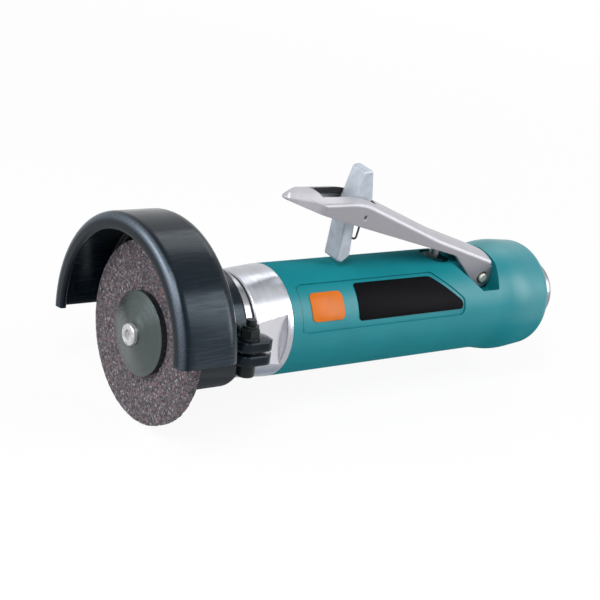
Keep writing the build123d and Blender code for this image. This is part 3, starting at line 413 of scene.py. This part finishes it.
def abrasive(colours):
    """Bonded grit: packed grains with dark gaps, pits and a few bright faces."""
    made = Finish("abrasive_grit")
    coarse = made.cells(0.95)
    tint = made.add("ShaderNodeSeparateColor", None, {0: coarse.also("Color")})
    fine = made.cells(0.42)
    fine_tint = made.add("ShaderNodeSeparateColor", None, {0: fine.also("Color")})
    cloud = made.noise(11.0, 4.0)
    grit, dark, bright = tuple(colours.grit), tuple(colours.grit_dark), tuple(colours.grit_bright)
    base = made.tones(tint, [
        (0.0, shaded(grit, 0.40)), (0.35, shaded(grit, 0.85)), (0.62, grit), (0.86, shaded(grit, 1.55)),
        (0.97, bright)])
    specks = made.tones(fine_tint, [
        (0.0, dark), (0.5, grit), (0.93, shaded(grit, 1.4)), (0.99, bright)])
    base = made.blend(0.45, base, specks)
    base = made.blend(made.steps(coarse, 0.42, 0.72) * 0.8, base, dark)
    rust = made.blend(made.steps(tint.also("Green"), 0.72, 0.9), base, shaded(grit, 1.5, 0.95, 0.9))
    base = made.blend(made.steps(cloud, 0.35, 0.7) * 0.5, rust, base)
    height = (1.0 - coarse) * 0.7 + tint.also("Blue") * 0.5 + (1.0 - fine) * 0.3
    return made.done(
        base_color=base, roughness=0.9 - 0.35 * made.steps(tint.also("Blue"), 0.8, 1.0),
        normal=made.bump(height, 0.5))


def polished(name, tone, roughness, flats_end=None):
    """Bright turned metal with lathe lines and handling marks, with painted shade below and painted light
    on the milled flats and their end step.
    """
    made = Finish(name)
    lines = made.noise(0.22, 4.0, made.vector(made.x, made.angle() * 0.6), 0.65)
    bands = made.noise(2.6, 2.0, made.vector(made.x, made.angle() * 0.4))
    smudge = made.noise(6.0, 4.0)
    rounded = made.soft_edge(0.3)
    base = made.blend(
        made.steps(lines * 0.4 + bands * 0.6, 0.34, 0.66), shaded(tone, 0.90), shaded(tone, 1.07))
    # Painted shade: darker and bluer on the lower side.
    base = made.blend(made.steps(made.z, -8.0, -14.0), base, shaded(tone, 0.36, 0.44, 0.52))
    edges = made.edge_share(rounded)
    # Painted light: a lighter tone on the milled flats and on the step at their end.
    if flats_end is not None:
        turn = math.radians(FLAT_TURN)
        out = (made.y * math.cos(turn) - made.z * math.sin(turn)).maths("ABSOLUTE")
        flat = made.steps((out - FLAT_DISTANCE).maths("ABSOLUTE"), 0.12, 0.06)
        flat = flat * made.steps(made.x, flats_end + 0.3, flats_end + 0.1)
        off = (made.x - flats_end).maths("ABSOLUTE")
        end = made.steps(off, 0.35, 0.2) * made.steps(made.radius(), *BODY_SKIN)
        base = made.blend(flat.maths("MAXIMUM", end), base, FLATS_PAINTED_LIGHT)
        edges = edges * made.steps(off, 0.7, 1.1)
    base = made.blend(edges, base, BARE_EDGE)
    return made.done(
        base_color=base, metallic=1.0,
        roughness=(
            roughness * 0.7 + roughness * 0.6 * made.steps(smudge, 0.3, 0.75) + 0.06 * (lines - 0.5)),
        normal=made.bump(lines, 0.006, rounded))


def threaded(name, tone, pitch, bore):
    """Machined steel with a screw thread cut in its bore."""
    made = Finish(name)
    turn = made.angle() / (2 * math.pi)
    phase = (made.x / pitch + turn).maths("FRACT")
    ridge = (phase - 0.5).maths("ABSOLUTE") * 2.0
    inside = made.steps(made.radius(), bore + 0.25, bore + 0.05)
    fine = made.noise(0.3, 3.0)
    rounded = made.soft_edge(0.25)
    # Painted shade: the thread's grooves are darker than its crests.
    base = made.blend(inside * (1.0 - ridge), shaded(tone, 1.05), shaded(tone, 0.35))
    base = made.blend(made.steps(made.noise(5.0, 3.0), 0.35, 0.7) * 0.35, base, shaded(tone, 0.75))
    base = made.blend(made.edge_share(rounded) * 0.6, base, shaded(tone, 1.4))
    return made.done(
        base_color=base, metallic=1.0, roughness=0.24 + 0.16 * fine,
        normal=made.bump(ridge * inside * 0.9 + fine * 0.02, 0.7, rounded))


def felt(name, tone):
    """Pressed felt: soft tangled fibres."""
    made = Finish(name)
    fibres = made.noise(0.5, 6.0, rough=0.75)
    wide = made.noise(4.0, 3.0)
    base = made.blend(
        made.steps(fibres * 0.7 + wide * 0.3, 0.3, 0.7), shaded(tone, 0.6), shaded(tone, 1.1))
    return made.done(base_color=base, roughness=0.95, normal=made.bump(fibres, 0.4))


def dress(finish, *names):
    """Gives CAD nodes a finish."""
    for name in names:
        mesh = NODES[name].data
        mesh.materials.clear()
        mesh.materials.append(finish)


def placed(name, mesh, finish):
    """An object at the origin from a mesh, with its finish."""
    mesh.materials.clear()
    mesh.materials.append(finish)
    made = bpy.data.objects.new(name, mesh)
    bpy.context.scene.collection.objects.link(made)
    return made


def piece(bm, name, finish, sharp=35.0):
    """Closes a shape and makes it an object."""
    bmesh.ops.remove_doubles(bm, verts=bm.verts, dist=1e-6)
    bmesh.ops.recalc_face_normals(bm, faces=bm.faces)
    mesh = bpy.data.meshes.new(name)
    bm.to_mesh(mesh)
    bm.free()
    mesh.shade_smooth()
    mesh.set_sharp_from_angle(angle=math.radians(sharp))
    return placed(name, mesh, finish)


def copied(node, name, finish):
    """A merged copy of a CAD node's mesh."""
    bm = bmesh.new()
    bm.from_mesh(NODES[node].data)
    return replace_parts(piece(bm, name, finish), node)


def welded(node, name, finish):
    """A merged copy of a CAD node's mesh that keeps the node's own smooth normals."""
    source = NODES[node].data
    normals = [tuple(corner.vector) for corner in source.corner_normals]
    bm = bmesh.new()
    bm.from_mesh(source)
    bmesh.ops.remove_doubles(bm, verts=bm.verts, dist=1e-7)
    mesh = bpy.data.meshes.new(name)
    bm.to_mesh(mesh)
    bm.free()
    mesh.normals_split_custom_set(normals)
    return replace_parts(placed(name, mesh, finish), node)


def panel_plate(corners, sizes, thickness, rounding, cuts=28):
    """A thin plate with rounded corners, made flat and then laid round the side panel."""
    floor = sizes.grip_radius - sizes.panel_depth + 0.01 * MM
    bm = bmesh.new()
    outline = [bm.verts.new((station(x), math.radians(angle) * floor, 0.0)) for x, angle in corners]
    bm.faces.new(outline)
    bmesh.ops.bevel(
        bm, geom=bm.verts[:], offset=rounding, segments=6, profile=0.5, affect="VERTICES", material=-1)
    raised = bmesh.ops.extrude_face_region(bm, geom=bm.faces[:])["geom"]
    top = [item for item in raised if isinstance(item, bmesh.types.BMVert)]
    bmesh.ops.translate(bm, verts=top, vec=(0.0, 0.0, thickness))
    rim = [edge for edge in bm.edges if all(vert.co.z > thickness / 2 for vert in edge.verts)]
    bmesh.ops.bevel(
        bm, geom=rim, offset=thickness * 0.45, segments=3, profile=0.5, affect="EDGES", material=-1)
    angles = [math.radians(angle) for _, angle in corners]
    low, high = min(angles) * floor, max(angles) * floor
    for cut in range(1, cuts):
        everything = bm.verts[:] + bm.edges[:] + bm.faces[:]
        at = (0.0, low + (high - low) * cut / cuts, 0.0)
        bmesh.ops.bisect_plane(bm, geom=everything, dist=1e-7, plane_co=at, plane_no=(0.0, 1.0, 0.0))
    for vert in bm.verts:
        angle, reach = vert.co.y / floor, floor + vert.co.z
        vert.co = (vert.co.x, -reach * math.cos(angle), reach * math.sin(angle))
    return bm


class CUTOFF_OT_grip(bpy.types.Operator):
    """Finish the moulded grip"""

    bl_idname = "cutoff.grip"
    bl_label = "Grip"

    def execute(self, context):
        colours = context.scene.cutoff_colours
        grip = welded("grip_housing", "moulded_grip", self.moulding(colours))
        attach(grip, "housing")
        dress(
            grained("moulded_bush", shaded(colours.grip_shade, 0.5), 0.5, blotch=4.0, contrast=0.2,
                    grain=0.3, depth=0.01, edge=0.2, shine=0.2),
            "valve_bush")
        return {"FINISHED"}

    def moulding(self, colours):
        """Moulded plastic with a soft sheen on its upper side, dull along the crest and below."""
        made = Finish("moulded_grip")
        drift = made.noise(26.0, 3.0)
        peel = made.noise(0.55, 2.0)
        sink = made.noise(9.0, 2.0)
        handled = made.noise(3.2, 5.0, rough=0.65)
        base = made.blend(made.steps(drift, 0.3, 0.7), tuple(colours.grip_shade), tuple(colours.grip))
        # Painted shade: a dark line along the side panel's front step.
        base = made.blend(self.painted_step_shade(made) * 0.85, base, shaded(colours.grip_shade, 0.3))
        crest = made.steps(made.z, *GRIP_CREST_HEIGHT) * made.stations(*GRIP_CREST)
        dull = 0.5 * made.steps(made.z, 0.0, -15.0) + 0.4 * crest
        swelling = made.stations(*GRIP_SWELLING)
        sheen = (0.36 + 0.34 * swelling) * made.steps(made.z, -4.5, 2.0) * (1.0 - crest)
        return made.done(
            base_color=base, specular_ior_level=0.12, coat_weight=sheen, coat_roughness=0.42,
            roughness=0.34 + 0.10 * made.steps(handled, 0.35, 0.75) + 0.05 * drift + dull,
            normal=made.bump(peel * 0.35 + sink, 0.012))

    def painted_step_shade(self, made):
        """Painted shade: a dark line where the side panel's front end steps down."""
        low, high, fade = math.radians(PANEL_LOW), math.radians(PANEL_HIGH), 0.03
        height = math.pi - made.angle()
        return made.stations(*PANEL_STEP) * made.between(height, low, low + fade, high - fade, high)


class CUTOFF_OT_guard(bpy.types.Operator):
    """Finish the guard and its clamp"""

    bl_idname = "cutoff.guard"
    bl_label = "Guard"

    def execute(self, context):
        dress(self.coat(context.scene.cutoff_colours), "wheel_guard")
        dress(
            grained("black_oxide", (0.007, 0.010, 0.010), 0.36, 0.2, blotch=2.5, contrast=0.3,
                    grain=0.18, depth=0.008, edge=0.25, edge_light=3.0, shine=0.25),
            "guard_clamp_screw", "guard_clamp_nut", "guard_clamp_washer")
        return {"FINISHED"}

    def coat(self, colours):
        """Satin black coat with fine strokes, a painted sheen low on the near side, and a worn front edge
        that carries a painted highlight.
        """
        made = Finish("guard_coat")
        tone = tuple(colours.guard)
        drift = made.noise(18.0, 3.0)
        fine = made.noise(0.7, 3.0, rough=0.6)
        strokes = made.noise(0.8, 3.0, made.vector(made.x * 0.06, made.y, made.z), 0.6)
        rounded = made.soft_edge(1.8)
        base = made.blend(
            made.steps(drift * 0.6 + strokes * 0.4, 0.3, 0.7), shaded(tone, 0.8), shaded(tone, 1.25))
        edges = made.edge_share(rounded) * made.steps(fine, 0.35, 0.65) * 0.6
        base = made.blend(edges, base, shaded(tone, 2.4))
        # Painted sheen: the coat is lighter and streaked low on the near side of the outer shell.
        near_side = made.steps(made.z, 26.0, 8.0) * made.steps(made.y, -20.0, -38.0)
        painted_sheen = near_side * made.stations(*GUARD_SHELL)
        streaked = painted_sheen * (0.6 + 0.4 * made.steps(strokes, 0.35, 0.65))
        base = made.blend(streaked, base, tuple(colours.guard_painted_sheen))
        # Painted highlight along the front edge, which is also made metallic like worn bare metal.
        edge_highlight = self.worn_edge_highlight(made) * (0.8 + 0.2 * made.steps(fine, 0.3, 0.6))
        base = made.blend(edge_highlight, base, tuple(colours.guard_worn_highlight))
        dull = 0.16 * edge_highlight + 0.10 * painted_sheen + 0.5 * made.steps(made.z, -5.0, -14.0)
        return made.done(
            base_color=base, metallic=edge_highlight * 0.6,
            specular_ior_level=0.20, specular_tint=(0.70, 0.87, 1.0, 1.0),
            roughness=0.13 + 0.05 * drift + 0.16 * made.steps(strokes, 0.42, 0.70) + dull,
            normal=made.bump((fine * 0.7 + strokes * 0.5) * (1.0 - 0.8 * edge_highlight), 0.010, rounded))

    def worn_edge_highlight(self, made):
        """Front edge worn to bare metal with a painted highlight, most on top and on the near side."""
        low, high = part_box("wheel_guard")
        out = made.radius() - (high.y / MM - GUARD_ROUNDING)
        lean = out.maths("ARCTAN2", low.x / MM + GUARD_ROUNDING - made.x)
        across = made.between(lean, -0.09, 0.38, 0.70, 1.15)
        around = made.between(made.angle(), 1.2, 1.75, 2.3, 2.85)
        return across * (0.4 + 0.6 * around)


class CUTOFF_OT_spindle(bpy.types.Operator):
    """Finish the flanges, the centre screw and the arbor"""

    bl_idname = "cutoff.spindle"
    bl_label = "Flanges and screw"

    def execute(self, context):
        flange = tuple(context.scene.cutoff_colours.flange)
        dress(turned("turned_flange", flange, 0.24, depth=0.12), "outer_flange", "inner_flange")
        dress(
            grained("bright_screw", (0.52, 0.52, 0.54), 0.28, 0.6, blotch=1.8, contrast=0.22,
                    grain=0.25, depth=0.02, edge=0.3, edge_light=1.3),
            "flange_screw")
        dress(turned("ground_shaft", (0.48, 0.49, 0.51), 0.22, along_axis=True), "arbor", "rotor")
        return {"FINISHED"}


class CUTOFF_OT_nose(bpy.types.Operator):
    """Finish the bright nose, the motor body, the end cap and the seals"""

    bl_idname = "cutoff.nose"
    bl_label = "Bright metal"

    def execute(self, context):
        bright = tuple(context.scene.cutoff_colours.bright)
        flats_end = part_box("motor_body")[0].x / MM + FLAT_LENGTH
        dress(polished("polished_body", bright, 0.32, flats_end), "motor_body")
        dress(polished("nose_metal", shaded(bright, 0.60), 0.30), "nose_cap", "exhaust_cap")
        dress(
            grained("black_rubber", (0.012, 0.012, 0.013), 0.62, blotch=5.0, contrast=0.3,
                    grain=0.25, depth=0.01, edge=0.2),
            "nose_seal", "motor_gasket", "valve_seal")
        return {"FINISHED"}


class CUTOFF_OT_lever(bpy.types.Operator):
    """Finish the throttle lever, its lock, pins and bushes, and the valve's stem"""

    bl_idname = "cutoff.lever"
    bl_label = "Lever and lock"

    def execute(self, context):
        colours = context.scene.cutoff_colours
        dress(self.cast(tuple(colours.lever)), "throttle_lever")
        dress(
            grained("lock_metal", tuple(colours.lock), 0.42, 0.35, blotch=4.0, contrast=0.12,
                    grain=0.4, depth=0.03, edge=0.35, edge_light=1.3),
            "lock_lever")
        dress(
            grained("bright_pin", (0.68, 0.66, 0.60), 0.28, 0.5, blotch=1.5, contrast=0.2,
                    grain=0.2, depth=0.02, edge=0.2, edge_light=1.2),
            "lever_pin")
        dress(
            grained("dull_pin", (0.16, 0.16, 0.17), 0.45, 1.0, blotch=1.5, contrast=0.2,
                    grain=0.2, depth=0.01, edge=0.1),
            "lock_pin")
        dress(
            grained("bush_resin", (0.030, 0.024, 0.020), 0.5, blotch=2.0, contrast=0.25,
                    grain=0.25, depth=0.01, edge=0.2),
            "lever_bushes")
        dress(turned("valve_stem", (0.20, 0.21, 0.21), 0.36), "valve_plunger")
        return {"FINISHED"}

    def cast(self, tone):
        """Cast metal with painted shade on its sides and in the slot, and painted highlights along the
        arm's top edges.
        """
        made = Finish("cast_lever")
        drift = made.noise(7.0, 3.0)
        fine = made.noise(0.5, 3.0, rough=0.6)
        rounded = made.soft_edge(0.7)
        across = made.y.maths("ABSOLUTE")
        base = made.blend(made.steps(drift, 0.3, 0.7), shaded(tone, 0.92), shaded(tone, 1.08))
        # Painted shade: the side walls are darker.
        base = made.blend(made.steps(across, *LEVER_SIDE), base, shaded(tone, 0.7))
        # Hard edges lighter: wear, strengthened as a painted highlight.
        edges = made.edge_share(rounded) * made.steps(fine, 0.25, 0.6)
        base = made.blend(edges, base, shaded(tone, 1.5))
        # Painted highlight along the arm's top edges.
        edge_highlight = made.between(across, *LEVER_EDGE) * made.stations(*LEVER_ARM)
        edge_highlight = edge_highlight * (0.6 + 0.4 * made.steps(fine, 0.3, 0.6))
        base = made.blend(edge_highlight, base, shaded(tone, 1.8))
        # Painted shade: the slot is near black, and not metallic.
        slot = made.steps(across, *LEVER_SLOT_SIDE) * made.stations(*LEVER_SLOT)
        base = made.blend(slot, base, shaded(tone, 0.06))
        return made.done(
            base_color=base, metallic=0.35 - 0.35 * slot, roughness=0.36 + 0.10 * drift,
            normal=made.bump(fine, 0.035, rounded))


class CUTOFF_OT_inside(bpy.types.Operator):
    """Finish the motor, the bearings and the air inlet"""

    bl_idname = "cutoff.inside"
    bl_label = "Motor, bearings and inlet"

    def execute(self, context):
        dress(
            grained("motor_iron", (0.20, 0.20, 0.21), 0.42, 0.9, blotch=5.0, contrast=0.2,
                    grain=0.3, depth=0.02, edge=0.2, edge_light=1.6),
            "front_end_plate", "motor_cylinder", "rear_end_plate")
        bearings = [
            f"{end}_bearing_{part}"
            for end in ("front", "rear") for part in ("outer_ring", "inner_ring", "balls")]
        dress(turned("bearing_steel", (0.62, 0.63, 0.65), 0.14, depth=0.004), *bearings, "cylinder_dowel")
        dress(
            grained("vane_laminate", (0.22, 0.11, 0.05), 0.55, blotch=3.0, contrast=0.25,
                    grain=0.4, depth=0.03, edge=0.15, edge_light=1.4),
            "rotor_vanes")
        dress(
            grained("clip_steel", (0.30, 0.30, 0.31), 0.32, 1.0, blotch=3.0, contrast=0.2,
                    grain=0.3, depth=0.01, edge=0.15, edge_light=1.5),
            "front_bearing_clip", "inlet_screen")
        dress(threaded("threaded_inlet", (0.46, 0.46, 0.47), INLET_PITCH, INLET_BORE), "inlet_bush")
        dress(felt("silencer_felt", (0.46, 0.44, 0.38)), "silencer_felt")
        return {"FINISHED"}


class CUTOFF_OT_wheel(bpy.types.Operator):
    """Build the abrasive wheel, with a chipped rim and pitted faces"""

    bl_idname = "cutoff.wheel"
    bl_label = "Abrasive wheel"

    def execute(self, context):
        sizes = context.scene.cutoff_sizes
        rim, bore = WHEEL_HIGH.z, sizes.wheel_bore / 2
        front, back = WHEEL_LOW.x, WHEEL_HIGH.x
        bm = bmesh.new()
        corners = ((front, bore), (front, rim), (back, rim), (back, bore))
        section = [bm.verts.new((x, 0.0, reach)) for x, reach in corners]
        sides = [bm.edges.new((section[i], section[(i + 1) % 4])) for i in range(4)]
        bmesh.ops.subdivide_edges(bm, edges=[sides[0], sides[2]], cuts=FACE_CUTS)
        bmesh.ops.subdivide_edges(bm, edges=[sides[1]], cuts=RIM_CUTS)
        bmesh.ops.spin(
            bm, geom=bm.verts[:] + bm.edges[:], cent=(0.0, 0.0, 0.0), axis=(1.0, 0.0, 0.0),
            angle=2 * math.pi, steps=sizes.wheel_steps, use_merge=True)
        self.wear(bm, rim, bore, (front + back) / 2, sizes)
        made = piece(bm, "abrasive_wheel", abrasive(context.scene.cutoff_colours), sharp=60.0)
        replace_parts(made, "cut_off_wheel")
        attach(made, "spindle")
        return {"FINISHED"}

    def wear(self, bm, rim, bore, middle, sizes):
        """Chips the rim and pits the faces, and leaves the bore alone."""
        near = 1e-5
        for vert in bm.verts:
            reach = math.hypot(vert.co.y, vert.co.z)
            chip = 0.5 + 0.5 * noise.noise(vert.co / CHIP_SIZE)
            pit = 0.5 + 0.5 * noise.noise(vert.co / PIT_SIZE + PIT_SHIFT)
            if reach > rim - near:
                share = 1.0 - sizes.rim_wear * chip / reach
                vert.co.yz = (vert.co.y * share, vert.co.z * share)
            elif reach > bore + near:
                vert.co.x += math.copysign(sizes.face_wear * pit, middle - vert.co.x)


class CUTOFF_OT_plate(bpy.types.Operator):
    """Lay the plain black plate in the side panel"""

    bl_idname = "cutoff.plate"
    bl_label = "Side plate"

    def execute(self, context):
        sizes = context.scene.cutoff_sizes
        bm = panel_plate(PLATE_CORNERS, sizes, sizes.plate_thickness, sizes.plate_corner)
        finish = grained(
            "plate_film", tuple(context.scene.cutoff_colours.plate), 0.45, blotch=14.0, contrast=0.25,
            grain=0.5, depth=0.008, edge=0.12, edge_light=2.0, shine=0.03)
        made = piece(bm, "side_plate", finish)
        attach(made, "housing")
        return {"FINISHED"}


class CUTOFF_OT_accent(bpy.types.Operator):
    """Lay the plain orange block in the side panel"""

    bl_idname = "cutoff.accent"
    bl_label = "Accent block"

    def execute(self, context):
        sizes = context.scene.cutoff_sizes
        bm = panel_plate(ACCENT_CORNERS, sizes, sizes.accent_thickness, sizes.accent_corner)
        finish = grained(
            "accent_paint", tuple(context.scene.cutoff_colours.accent), 0.34, blotch=8.0, contrast=0.08,
            grain=0.4, depth=0.01, edge=0.15, edge_light=1.15, shine=0.15)
        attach(piece(bm, "accent_block", finish), "housing")
        return {"FINISHED"}


class CUTOFF_OT_springs(bpy.types.Operator):
    """Copy the two springs as wire pieces, and hang the valve spring on the housing"""

    bl_idname = "cutoff.springs"
    bl_label = "Springs"

    def execute(self, context):
        wound = {"blotch": 2.0, "contrast": 0.25, "grain": 0.2, "depth": 0.01, "edge": 0.05}
        # The lock spring's wire is dark grey.
        dark = grained("oiled_wire", (0.045, 0.045, 0.05), 0.4, 0.5, **wound)
        lock = copied("lock_spring", "lock_spring_wire", dark)
        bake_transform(lock)
        wire = grained("spring_wire", (0.34, 0.34, 0.35), 0.3, 1.0, **wound)
        valve = copied("valve_spring", "valve_spring_wire", wire)
        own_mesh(valve)
        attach(valve, "housing")
        return {"FINISHED"}


class CUTOFF_OT_stage(bpy.types.Operator):
    """Set up the pale floor, the background, the lamps and the camera"""

    bl_idname = "cutoff.stage"
    bl_label = "Stage"

    def execute(self, context):
        scene = context.scene
        stage = scene.cutoff_stage
        scene.view_settings.view_transform = "Standard"
        middle = (Vector(CAD_BOX[0]) + Vector(CAD_BOX[1])) / 2
        self.floor(stage, middle)
        self.background(scene, stage)
        for name, (size, place) in LAMPS.items():
            self.lamp(name, getattr(stage, f"{name}_power"), size, place, middle)
        self.camera(scene)
        return {"FINISHED"}

    def white_rays(self, graph):
        """1 for rays that see the background: from the camera, and by reflection or through glass."""
        path = graph.add("ShaderNodeLightPath", output="Is Camera Ray")
        seen = path + path.also("Is Glossy Ray") + path.also("Is Transmission Ray")
        return seen.maths("MINIMUM", 1.0)

    def floor(self, stage, middle):
        """A pale floor that keeps the shadow and turns plain white with distance."""
        bm = bmesh.new()
        bmesh.ops.create_grid(bm, x_segments=1, y_segments=1, size=FLOOR_REACH)
        bmesh.ops.translate(bm, verts=bm.verts, vec=(0.0, 0.0, CAD_BOX[0][2] - FLOOR_DROP))
        made = Finish("pale_floor")
        drift = made.noise(400.0, 2.0)
        tone = made.blend(drift, shaded(stage.floor, 0.98), tuple(stage.floor))
        lit = made.add("ShaderNodeBsdfDiffuse", None, {"Color": tone})
        white = made.add("ShaderNodeEmission", None, {"Color": WHITE, "Strength": 1.0})
        away = ((made.x - middle.x / MM) ** 2.0 + (made.y - middle.y / MM) ** 2.0) ** 0.5
        far = made.steps(away, *FLOOR_FADE)
        share = self.white_rays(made) * (stage.floor_glow + far * (1.0 - stage.floor_glow))
        mixed = made.add("ShaderNodeMixShader", None, {0: share, 1: lit, 2: white})
        made.add("ShaderNodeOutputMaterial", None, {"Surface": mixed})
        piece(bm, "floor", made.material)

    def background(self, scene, stage):
        """A white background that lights the tool only a little."""
        world = bpy.data.worlds.new("studio")
        world.use_nodes = True
        graph = Graph(world.node_tree)
        strength = stage.ambient + self.white_rays(graph) * (1.0 - stage.ambient)
        light = graph.add("ShaderNodeBackground", None, {"Color": WHITE, "Strength": strength})
        graph.add("ShaderNodeOutputWorld", None, {"Surface": light})
        scene.world = world

    def lamp(self, name, watts, size, place, target):
        """A soft lamp that faces the tool."""
        light = bpy.data.lights.new(name, "AREA")
        light.energy = watts
        light.shape = "ELLIPSE"
        light.size, light.size_y = size
        made = bpy.data.objects.new(name, light)
        bpy.context.scene.collection.objects.link(made)
        made.location = place
        made.rotation_euler = (target - Vector(place)).to_track_quat("-Z", "Y").to_euler()

    def camera(self, scene):
        """The camera, before the wheel and above the near side."""
        camera = bpy.data.cameras.new("camera")
        camera.lens = CAMERA_LENS
        camera.sensor_width = CAMERA_SENSOR
        seen = bpy.data.objects.new("camera", camera)
        scene.collection.objects.link(seen)
        place = Matrix(CAMERA_AXES).transposed().to_4x4()
        place.translation = CAMERA_PLACE
        seen.matrix_world = place
        scene.camera = seen


OPERATORS = (
    CUTOFF_OT_grip, CUTOFF_OT_guard, CUTOFF_OT_spindle, CUTOFF_OT_nose, CUTOFF_OT_lever,
    CUTOFF_OT_inside, CUTOFF_OT_wheel, CUTOFF_OT_plate, CUTOFF_OT_accent, CUTOFF_OT_springs,
    CUTOFF_OT_stage,
)
GROUPS = {"cutoff_colours": CutoffColours, "cutoff_sizes": CutoffSizes, "cutoff_stage": CutoffStage}


class CUTOFF_PT_panel(bpy.types.Panel):
    """Settings and steps of the cut-off tool"""

    bl_idname = "CUTOFF_PT_panel"
    bl_label = "Cut-off tool"
    bl_space_type = "VIEW_3D"
    bl_region_type = "UI"
    bl_category = "Cut-off tool"

    def draw(self, context):
        for group in GROUPS:
            box = self.layout.box()
            settings = getattr(context.scene, group)
            for name in settings.bl_rna.properties.keys():
                if name not in {"rna_type", "name"}:
                    box.prop(settings, name)
        for operator in OPERATORS:
            self.layout.operator(operator.bl_idname)


CLASSES = (*GROUPS.values(), *OPERATORS, CUTOFF_PT_panel)


def register():
    for made in CLASSES:
        bpy.utils.register_class(made)
    for name, group in GROUPS.items():
        setattr(bpy.types.Scene, name, PointerProperty(type=group))


def unregister():
    for name in GROUPS:
        delattr(bpy.types.Scene, name)
    for made in reversed(CLASSES):
        bpy.utils.unregister_class(made)


def main():
    """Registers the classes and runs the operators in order."""
    register()
    bpy.ops.cutoff.grip()
    bpy.ops.cutoff.guard()
    bpy.ops.cutoff.spindle()
    bpy.ops.cutoff.nose()
    bpy.ops.cutoff.lever()
    bpy.ops.cutoff.inside()
    bpy.ops.cutoff.wheel()
    bpy.ops.cutoff.plate()
    bpy.ops.cutoff.accent()
    bpy.ops.cutoff.springs()
    bpy.ops.cutoff.stage()


if __name__ == "__main__":
    main()
